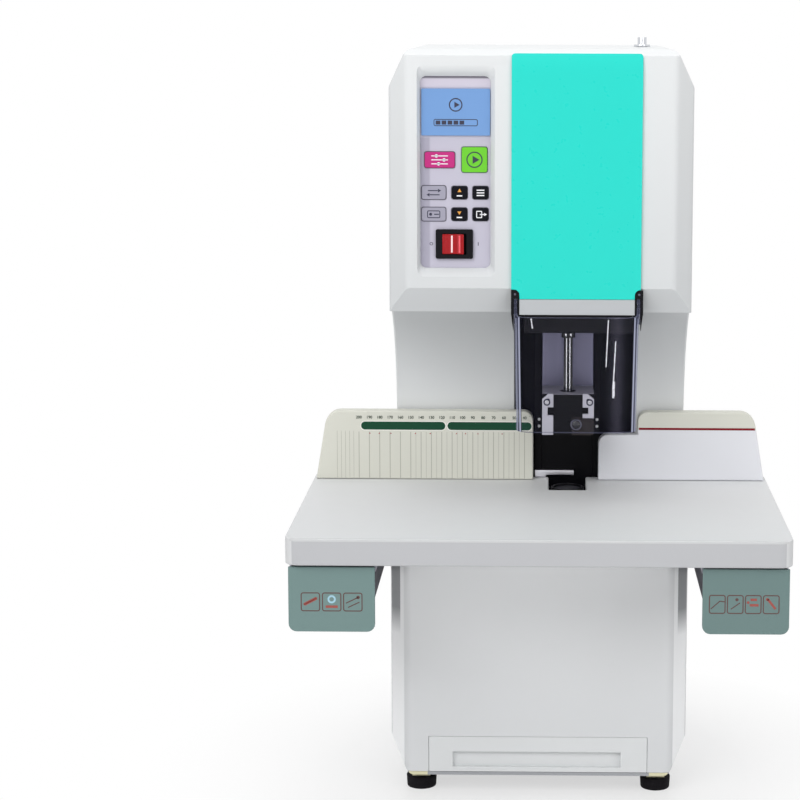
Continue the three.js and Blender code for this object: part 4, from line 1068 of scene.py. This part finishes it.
keySigns = {  # kind, place, turn and sizes of each stroke, in millimetres from the key's middle
    "preset_key": {
        "white": [
            *(("bar", 0, z, 0, 15, 0.8) for z in (3.6, 0, -3.6)),
            *(("disc", x, z, 0, 1.5) for x, z in ((-3, 3.6), (4, 0), (-1, -3.6))),
        ]
    },
    "start_key": {"dark": [("ring", 0, 0, 0, 7.4, 1.1), ("triangle", 0.4, 0, 90, 4.2)]},
    "mode_key": {
        "dark": [
            ("bar", -0.8, 1.9, 0, 9, 0.9),
            ("triangle", 4.8, 1.9, 90, 1.9),
            ("bar", 0.8, -1.9, 0, 9, 0.9),
            ("triangle", -4.8, -1.9, -90, 1.9),
        ]
    },
    "manual_key": {
        "dark": [("frame", 0, 0, 0, 12, 7, 0.8, 1.4), ("disc", -2.8, 0, 0, 1.4), ("bar", 2.6, 0, 0, 4.4, 1)]
    },
    "up_key": {"orange": [("triangle", 0, 1.7, 0, 2.1)], "white": [("bar", 0, -2.8, 0, 5, 1.1)]},
    "down_key": {"orange": [("triangle", 0, 1.6, 180, 2.1)], "white": [("bar", 0, -2.8, 0, 5, 1.1)]},
    "menu_key": {"white": [("bar", 0, z, 0, 7, 1) for z in (2.4, 0, -2.4)]},
    "exit_key": {
        "white": [
            ("frame", -1.2, 0, 0, 5.4, 6.6, 0.8, 0.8),
            ("bar", 1.6, 0, 0, 4.4, 1),
            ("triangle", 4.2, 0, 90, 1.7),
        ]
    },
}
binSigns = {
    "outline": {"width": 16.8, "height": 16.8, "line": 0.9, "round": 2.2},
    "centreZ": 0.2237,
    "leftX": (-197.3, -178.9, -160.6),
    "rightX": (154.2, 169.7, 185.2, 200.7),
    "rightWidth": 14.4,
    "left": (
        {"red": [("bar", 0, 0.5, -28, 12.5, 2.6), ("bar", 0, 0.5, -28, 13.8, 0.5)]},
        {"blue": [("ring", 0, 2.4, 0, 3.6, 1.6)], "red": [("bar", 0, -4.2, 0, 10.5, 2.2)]},
        {
            "brown": [
                ("bar", -0.6, 1.6, -26, 12, 0.9),
                ("bar", 0.8, -2.4, -26, 11, 0.9),
                ("disc", 4.6, 4.2, 0, 1.5),
            ]
        },
    ),
    "right": (
        {"brown": [("bar", -1.6, -0.6, -42, 10.5, 0.9), ("bar", 4.2, 2.6, 8, 4.2, 0.9)]},
        {"brown": [("bar", 0.2, -1.4, -36, 9.6, 0.9), ("disc", 1.4, 4.2, 0, 1.4)]},
        {
            "red": [
                ("bar", 0.4, 4.2, 0, 5.6, 2.2),
                ("bar", 0.8, -0.6, 0, 7.6, 2.2),
                ("disc", -4.4, 1.8, 0, 1.2),
            ]
        },
        {"red": [("bar", 0.4, 0.4, 52, 11, 2.0), ("disc", -3.4, 4.6, 0, 1.3)]},
    ),
}
inks = {
    "white": looks["white_ink"],
    "dark": looks["dark_ink"],
    "orange": inked("orangeInk", "e09a3a"),
    "red": inked("brickInk", "96473f"),
    "brown": inked("brownInk", "573835"),
    "blue": inked("paleBlueInk", "9cc4d4"),
    "rim": inked("rimInk", "33323f"),
}


def makeKeySigns():
    for key, parts in keySigns.items():
        low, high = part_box(key)
        centre = ((low[0] + high[0]) / 2, (low[2] + high[2]) / 2)
        for ink, strokes in parts.items():
            stencil(f"{key}_sign_{ink}", strokes, centre, low[1], inks[ink], bodyOf[key], slotOf[key])


keyRim = {"reach": 1.2, "line": 0.5, "round": 2.3, "thick": 0.12}


def makeKeyRims():
    sizes = keyRim
    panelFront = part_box("control_panel")[0][1]
    rims = []
    for key in keySigns:
        low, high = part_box(key)
        x, z = ((low[i] + high[i]) / 2 / mm for i in (0, 2))
        across, up = ((high[i] - low[i]) / mm + sizes["reach"] for i in (0, 2))
        rims.append(("frame", x, z, 0, across, up, sizes["line"], sizes["round"]))
    stencil("key_rims", rims, (0, 0), panelFront, inks["rim"], "machine_body", "panel", sizes["thick"])


panelSigns = {  # off and on marks beside the switch, and a ready bar with a sign over it
    "switch": [("ring", -99.8, 519.7, 0, 1.5, 0.5), ("bar", -57.0, 519.7, 0, 0.7, 3.2)],
    "display": [
        ("frame", -77.4, 630, 0, 40, 6.4, 0.7, 1.6),
        *(("bar", -93.4 + 5.4 * step, 630, 0, 4.2, 3.6) for step in range(5)),
        ("ring", -77.4, 646, 0, 6.2, 1.1),
        ("triangle", -77.0, 646, 90, 3.2),
    ],
    "displayThick": 0.05,
}


def makePanelMarks():
    ink, sizes = inks["dark"], panelSigns
    panelFront, screen = (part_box(node)[0][1] for node in ("control_panel", "lcd_screen"))
    stencil("switch_marks", sizes["switch"], (0, 0), panelFront, ink, "machine_body", "panel")
    strokes, thick = sizes["display"], sizes["displayThick"]
    stencil("display_signs", strokes, (0, 0), screen, ink, "machine_body", "lcd", thick)


def makeBinSigns():
    sizes = binSigns
    rim = sizes["outline"]
    for side in ("left", "right"):
        node = f"storage_bin_{side}"
        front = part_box(node)[0][1]
        width = rim["width"] if side == "left" else sizes["rightWidth"]
        facts = (0, 0, width, rim["height"], rim["line"], rim["round"])
        frames = [("frame", x, *facts) for x in sizes[side + "X"]]
        place = ((0, sizes["centreZ"]), front)
        stencil(f"{node}_frames", frames, *place, inks["brown"], bodyOf[node], slotOf[node])
        byInk = {}
        for x, parts in zip(sizes[side + "X"], sizes[side]):
            for ink, strokes in parts.items():
                moved = [(kind, x + dx, dz, *rest) for kind, dx, dz, *rest in strokes]
                byInk.setdefault(ink, []).extend(moved)
        for ink, strokes in byInk.items():
            stencil(f"{node}_signs_{ink}", strokes, *place, inks[ink], bodyOf[node], slotOf[node])


plateScrews = {"x": {"left": 6.4, "right": 46.8}, "front": -12.0, "z": 365.3, "seat": (3.3, 1.3)}


def makeScrewSeats():  # dark rings round the screws of the press plates
    sizes = plateScrews
    rings = [("ring", x, sizes["z"], 0, *sizes["seat"]) for x in sizes["x"].values()]
    front = sizes["front"] * mm
    stencil("press_screw_seats", rings, (0, 0), front, inks["dark"], "press_unit", "black_plastic")


makeKeySigns()
makeScrewSeats()
makeKeyRims()
makePanelMarks()
makeBinSigns()
print("signs made")


# Small turned and bent pieces.

lampLens = {
    "place": (34.0, -17.0, 345.0),
    "rings": {  # radius and height, from the block's front
        "lamp_lens_rim": ((5.4, 0), (5.4, 0.7), (4.9, 1.2), (4.2, 1.2), (3.9, 0.6)),
        "lamp_lens": ((3.9, 0.2), (3.9, 0.9), (3.4, 1.5), (2.4, 2.0), (1.2, 2.3), (0.4, 2.35)),
    },
    "looks": {"lamp_lens_rim": "lamp_rim", "lamp_lens": "lamp_glass"},
}


def makeLampLens():
    tilt = Matrix.Rotation(math.pi / 2, 4, "X")
    for name, rings in lampLens["rings"].items():
        shape = turned(rings)
        shape.data.transform(Matrix.Translation([v * mm for v in lampLens["place"]]) @ tilt)
        finishPiece(shape, name, looks[lampLens["looks"][name]], "press_unit")


nose = {
    "outer": 8.2,
    "inner": 6.8,
    "tip": 7.2,
    "edge": (0.3, 0.6),
    "top": 446.2,
    "taperFrom": 437.4,
    "bottom": 432.4,
    "place": (26.4, 7.0),
}


def makeSpindleNose():  # the tapered sleeve in the casting, round the spindle
    sizes = nose
    rings = (
        (sizes["inner"], sizes["top"]),
        (sizes["outer"], sizes["top"]),
        (sizes["outer"], sizes["taperFrom"]),
        (sizes["tip"] + sizes["edge"][0], sizes["bottom"] + sizes["edge"][1]),
        (sizes["tip"], sizes["bottom"]),
        (sizes["inner"], sizes["bottom"]),
    )
    sleeve = turned(rings)
    openMesh(sleeve)
    pick(sleeve, "FACE", lambda f: len(f.verts) > 8)
    bpy.ops.mesh.bridge_edge_loops()
    closeMesh()
    outwards(sleeve)
    x, y = sizes["place"]
    sleeve.data.transform(Matrix.Translation((x * mm, y * mm, 0)))
    finishPiece(sleeve, "spindle_nose", looks["cast"], "machine_body")


cheek = {
    "left": -26.6,
    "right": 93.4,
    "width": 2.1,
    "y": (-68.5, -56.0),
    "top": 455.6,
    "drop": 14,
    "tip": 0.35,
    "rake": 0.6,
    "edge": 0.4,
}


def makeHingeCheeks():  # the black wedge below each hinge block
    sizes = cheek
    for side, direction in (("left", 1), ("right", -1)):
        letGo()
        x = sizes[side] + direction * sizes["width"] / 2
        y = sum(sizes["y"]) / 2
        z = sizes["top"] - sizes["drop"] / 2
        bpy.ops.mesh.primitive_cube_add(size=1, location=(x * mm, y * mm, z * mm))
        wedge = bpy.context.object
        depth = sizes["y"][1] - sizes["y"][0]
        wedge.scale = (sizes["width"] * mm, depth * mm, sizes["drop"] * mm)
        settle(wedge)
        inner = (sizes[side] + direction * sizes["width"]) * mm
        openMesh(wedge)
        pick(wedge, "VERT", lambda v: v.co.z < z * mm and abs(v.co.x - inner) > 0.5 * mm)
        bpy.ops.transform.translate(value=(direction * (sizes["width"] - sizes["tip"]) * mm, 0, 0))
        pick(wedge, "VERT", lambda v: v.co.z < z * mm and v.co.y > y * mm)
        bpy.ops.transform.translate(value=(0, -depth * sizes["rake"] * mm, 0))
        closeMesh()
        bevelled(wedge, sizes["edge"] * mm, 2)
        finishPiece(wedge, f"guard_cheek_{side}", looks["black_plastic"], "machine_body")


louvre = {
    "columns": (-52, 52),
    "rows": 9,
    "first": 500,
    "pitch": 11,
    "y": 209.2,
    "width": 74.4,
    "depth": 7.4,
    "lip": (0.6, 1.3),
    "sheet": 0.8,
    "edge": 0.2,
    "tilt": 38,
}


def makeLouvreBlades():
    sizes = louvre
    blade = flatSheet(sizes["width"], sizes["depth"])
    openMesh(blade)
    pick(blade, "EDGE", lambda e: all(v.co.y > 0 for v in e.verts))
    back, up = sizes["lip"]
    bpy.ops.mesh.extrude_region_move(TRANSFORM_OT_translate={"value": (0, back * mm, up * mm)})
    closeMesh()
    applied(blade, "SOLIDIFY", thickness=sizes["sheet"] * mm)
    bevelled(blade, sizes["edge"] * mm, 2)
    outwards(blade)
    blade.data.transform(Matrix.Rotation(math.radians(-sizes["tilt"]), 4, "X"))
    for column, x in enumerate(sizes["columns"]):
        for row in range(sizes["rows"]):
            z = sizes["first"] + row * sizes["pitch"]
            one = twinOf(blade, f"louvre_{column}_{row}", (x * mm, sizes["y"] * mm, z * mm))
            finishPiece(one, one.name, looks["shell"], "machine_body")
    bpy.data.objects.remove(blade)


plate = {
    "centre": (62, 66),
    "width": 70,
    "height": 34,
    "thick": 0.5,
    "corner": 2.5,
    "rim": 0.9,
    "dish": 0.15,
    "rear": 213.5,
    "clear": 0.02,
    "rivetInset": 4,
    "rivet": ((1.5, 0), (1.4, 0.4), (0.9, 0.75), (0.3, 0.85)),
    "rivetSeat": 0.3,
}


def makeBlankPlate():  # the plate on the back is left bare
    sizes = plate
    x, z = sizes["centre"]
    place = (x, sizes["rear"] + sizes["clear"], z)
    sheet = flatSheet(sizes["width"], sizes["height"], (-math.pi / 2, 0, 0), place)
    openMesh(sheet)
    bpy.ops.mesh.bevel(offset=sizes["corner"] * mm, segments=5, affect="VERTICES")
    bpy.ops.mesh.select_all(action="SELECT")
    bpy.ops.mesh.extrude_region_move(TRANSFORM_OT_translate={"value": (0, sizes["thick"] * mm, 0)})
    bpy.ops.mesh.inset(thickness=sizes["rim"] * mm)
    bpy.ops.transform.translate(value=(0, -sizes["dish"] * mm, 0))
    closeMesh()
    outwards(sheet)
    look = brushed("plateAluminium", "c3c5ca", 0.35, "X")
    finishPiece(sheet, "blank_plate", look, "machine_body")
    reachX, reachZ = (sizes[key] / 2 - sizes["rivetInset"] for key in ("width", "height"))
    back = Matrix.Rotation(-math.pi / 2, 4, "X")
    rivets = []
    for dx, dz in ((-1, -1), (-1, 1), (1, -1), (1, 1)):
        rivet = turned(sizes["rivet"], 20)
        spot = [v * mm for v in (x + dx * reachX, sizes["rear"] + sizes["rivetSeat"], z + dz * reachZ)]
        rivet.data.transform(Matrix.Translation(spot) @ back)
        rivets.append(rivet)
    finishPiece(joined(rivets), "plate_rivets", looks["chrome"], "machine_body")


makeLampLens()
makeSpindleNose()
makeHingeCheeks()
makeLouvreBlades()
makeBlankPlate()
print("small pieces made")


# Cross-recessed screws, modelled once and copied.

screw = {
    "radius": 2.6 * mm,
    "height": 1.5 * mm,
    "edge": 0.45,
    "rim": 0.18,
    "depth": 0.8 * mm,
    "crossReach": 0.62,
    "crossHalf": 0.22,
    "sides": 32,
}
looks["screw"] = brushed("screwSteel", "c9c8d0", 0.25, "X", 0.1)
screwFacings = {"front": 0, "right": 90, "back": 180, "left": -90}
plateScrew = ("front", 0.78, "press_unit", "screw")
hingeScrew = ("front", 0.42, "machine_body", "lamp_rim")
# the frame bar screws take the white ink, a painted highlight on their heads
barScrew = ("front", 0.55, "machine_body", "white_ink")
coverScrews = {
    "x": 138.0,
    "rows": ((60, (20, 190)), (236, (190,)), (300, (110, 190)), (640, (20, 190))),
    "rearX": 126.0,
    "rearY": 213.5,
    "rearRows": (40, 240, 460, 676),
}
screwPlaces = {  # place and turn, then facing, scale, body and look
    **{
        f"press_plate_{side}_screw": ((x, plateScrews["front"], plateScrews["z"]), turn, *plateScrew)
        for (side, x), turn in zip(plateScrews["x"].items(), (0.3, 0.9))
    },
    "guard_hinge_left_screw": ((-23.1, -69.8, 475.0), 0.2, *hingeScrew),
    "guard_hinge_right_screw": ((89.9, -69.8, 475.0), 0.7, *hingeScrew),
    "frame_bar_left_screw_upper": ((-1.0, 50.2, 337.7), 0.1, *barScrew),
    "frame_bar_left_screw_lower": ((-1.0, 50.2, 331.0), 0.5, *barScrew),
    "frame_bar_right_screw_upper": ((55.2, 50.2, 337.7), 0.8, *barScrew),
    "frame_bar_right_screw_lower": ((55.2, 50.2, 331.0), 0.4, *barScrew),
}
for side, direction in (("left", -1), ("right", 1)):
    for row, (z, places) in enumerate(coverScrews["rows"]):
        for column, y in enumerate(places):
            spot = (direction * coverScrews["x"], y, z)
            facts = (0.37 * row + column, side, 1.0, "machine_body", "screw")
            screwPlaces[f"cover_{side}_screw_{row}_{column}"] = (spot, *facts)
for side, direction in (("left", -1), ("right", 1)):
    for row, z in enumerate(coverScrews["rearRows"]):
        spot = (direction * coverScrews["rearX"], coverScrews["rearY"], z)
        facts = (0.51 * row, "back", 1.0, "machine_body", "screw")
        screwPlaces[f"rear_cover_{side}_screw_{row}"] = (spot, *facts)


def makeScrew():
    sizes = screw
    letGo()
    bpy.ops.mesh.primitive_cylinder_add(
        vertices=sizes["sides"],
        radius=sizes["radius"],
        depth=sizes["height"],
        location=(0, -sizes["height"] / 2, 0),
        rotation=(math.pi / 2, 0, 0),
    )
    head = bpy.context.object
    settle(head)
    openMesh(head)
    pick(head, "EDGE", lambda e: all(v.co.y < -sizes["height"] / 2 for v in e.verts))
    bpy.ops.mesh.bevel(offset=sizes["height"] * sizes["edge"], segments=3, affect="EDGES")
    pick(head, "FACE", lambda f: f.normal.y < -0.99 and len(f.verts) > 8)
    bpy.ops.mesh.inset(thickness=sizes["radius"] * sizes["rim"])
    bpy.ops.mesh.poke()
    quarter = math.pi / 2

    def inCross(face):
        centre = face.calc_center_median()
        near = math.hypot(centre.x, centre.z) <= sizes["radius"] * sizes["crossReach"]
        off = (math.atan2(centre.z, centre.x) + quarter / 2) % quarter - quarter / 2
        return face.normal.y <= -0.99 and near and abs(off) < sizes["crossHalf"]

    pick(head, "FACE", inCross)
    bpy.ops.mesh.extrude_region_move(TRANSFORM_OT_translate={"value": (0, sizes["depth"], 0)})
    closeMesh()
    return head


masterScrew = makeScrew()
for name, (place, spin, facing, scale, body, look) in screwPlaces.items():
    aim = Matrix.Rotation(math.radians(screwFacings[facing]), 4, "Z")
    turn = aim @ Matrix.Rotation(spin, 4, "Y") @ Matrix.Scale(scale, 4)
    one = twinOf(masterScrew, name, [v * mm for v in place], turn)
    finishPiece(one, name, looks[look], body)
bpy.data.objects.remove(masterScrew)
print("screws placed:", len(screwPlaces))


# Floor, light and camera.

studio = {
    "floor": 120.0,
    "whiteFrom": 0.2,
    "whiteAt": 0.38,
    "whiteLeast": 0.6,
    "sky": 0.42,
    "aim": (0.0, 0.0, 0.35),
}
lamps = {  # the fill lamp isn't mirrored, or it would burn out in the lid, seen from behind
    "key": {"place": (-1.5, -2.6, 2.6), "size": 2.2, "power": 71},
    "fill": {"place": (2.0, -2.2, 1.5), "size": 2.0, "power": 22.5, "mirrored": False},
    "top": {"place": (0.1, 0.2, 3.0), "size": 2.4, "power": 34},
    "gleamLeft": {"place": (-0.9, -1.5, 0.45), "size": 0.2, "tall": 1.0, "power": 4, "spread": False},
    "gleamRight": {"place": (0.9, -1.5, 0.45), "size": 0.2, "tall": 1.0, "power": 4, "spread": False},
}
view = {
    "lens": 99.72,
    "sensor": 36,
    "shift": (-0.1533, -0.082),
    "place": (4.9, -2070.5, 726.5),
    "turns": ((0.6, "Z"), (81.8, "X"), (0.2, "Z")),  # heading, lean and roll
    "farthest": 50,
}


def whiteRays(nodesOf):  # one for the rays that show the white background
    rays = nodesOf.node("ShaderNodeLightPath", {}, {}).socket.node
    kinds = ("Is Camera Ray", "Is Glossy Ray", "Is Transmission Ray")
    return eitherOf(*(Wire(nodesOf, rays.outputs[kind]) for kind in kinds))


def makeFloor():  # white further out, and partly lit round the feet, where the shadow falls
    bpy.ops.mesh.primitive_plane_add(size=studio["floor"], location=(0, 0, 0))
    floor = bpy.context.object
    floor.name = "floor"
    look = Look("paleFloor")
    x, y = look.axes("XY")
    away = calc("SQRT", x * x + y * y)
    near, far, least = studio["whiteFrom"], studio["whiteAt"], studio["whiteLeast"]
    fade = clamped((away - near) / (far - near))
    look.feed(Base_Color=look.mix(look.noise(3, 2), linear("efefef"), linear("f4f4f4")), Roughness=0.32)
    glow = look.node("ShaderNodeEmission", {}, {"Color": (1, 1, 1, 1), "Strength": 1.0})
    share = whiteRays(look) * (fade * (1 - least) + least)
    blend = look.node("ShaderNodeMixShader", {}, {0: share, 1: Wire(look, look.shader.outputs[0]), 2: glow})
    ending = look.tree.nodes["Material Output"]
    look.tree.links.new(blend.socket, ending.inputs["Surface"])
    floor.data.materials.append(look.material)


def makeLamp(name, facts):
    light = bpy.data.lights.new(name, "AREA")
    light.shape = "RECTANGLE"
    light.size = facts["size"]
    light.size_y = facts.get("tall", facts["size"])
    light.energy = facts["power"]
    lamp = bpy.data.objects.new(name, light)
    lamp.location = facts["place"]
    lamp.visible_diffuse = facts.get("spread", True)
    lamp.visible_glossy = facts.get("mirrored", True)
    aim = Vector(studio["aim"]) - Vector(facts["place"])
    lamp.rotation_euler = aim.to_track_quat("-Z", "Y").to_euler()
    bpy.context.scene.collection.objects.link(lamp)


def makeSky():
    world = bpy.data.worlds.new("studioSky")
    bpy.context.scene.world = world
    world.use_nodes = True
    sky = Nodes(world.node_tree)
    background = sky.tree.nodes["Background"]
    strength = sky.node("ShaderNodeMix", {}, {0: whiteRays(sky), 2: studio["sky"], 3: 1.0})
    sky.tree.links.new(strength.socket, background.inputs["Strength"])
    background.inputs["Color"].default_value = (1, 1, 1, 1)


def makeCamera():
    lens = bpy.data.cameras.new("camera")
    lens.lens = view["lens"]
    lens.sensor_width = view["sensor"]
    lens.shift_x, lens.shift_y = view["shift"]
    lens.clip_end = view["farthest"]
    camera = bpy.data.objects.new("camera", lens)
    camera.location = [v * mm for v in view["place"]]
    heading, lean, roll = (Matrix.Rotation(math.radians(angle), 3, axis) for angle, axis in view["turns"])
    camera.rotation_euler = (heading @ lean @ roll).to_euler()
    bpy.context.scene.collection.objects.link(camera)
    bpy.context.scene.camera = camera


makeFloor()
for lampName, facts in lamps.items():
    makeLamp(lampName, facts)
makeSky()
makeCamera()
bpy.context.scene.view_settings.view_transform = "Standard"
print("studio ready")
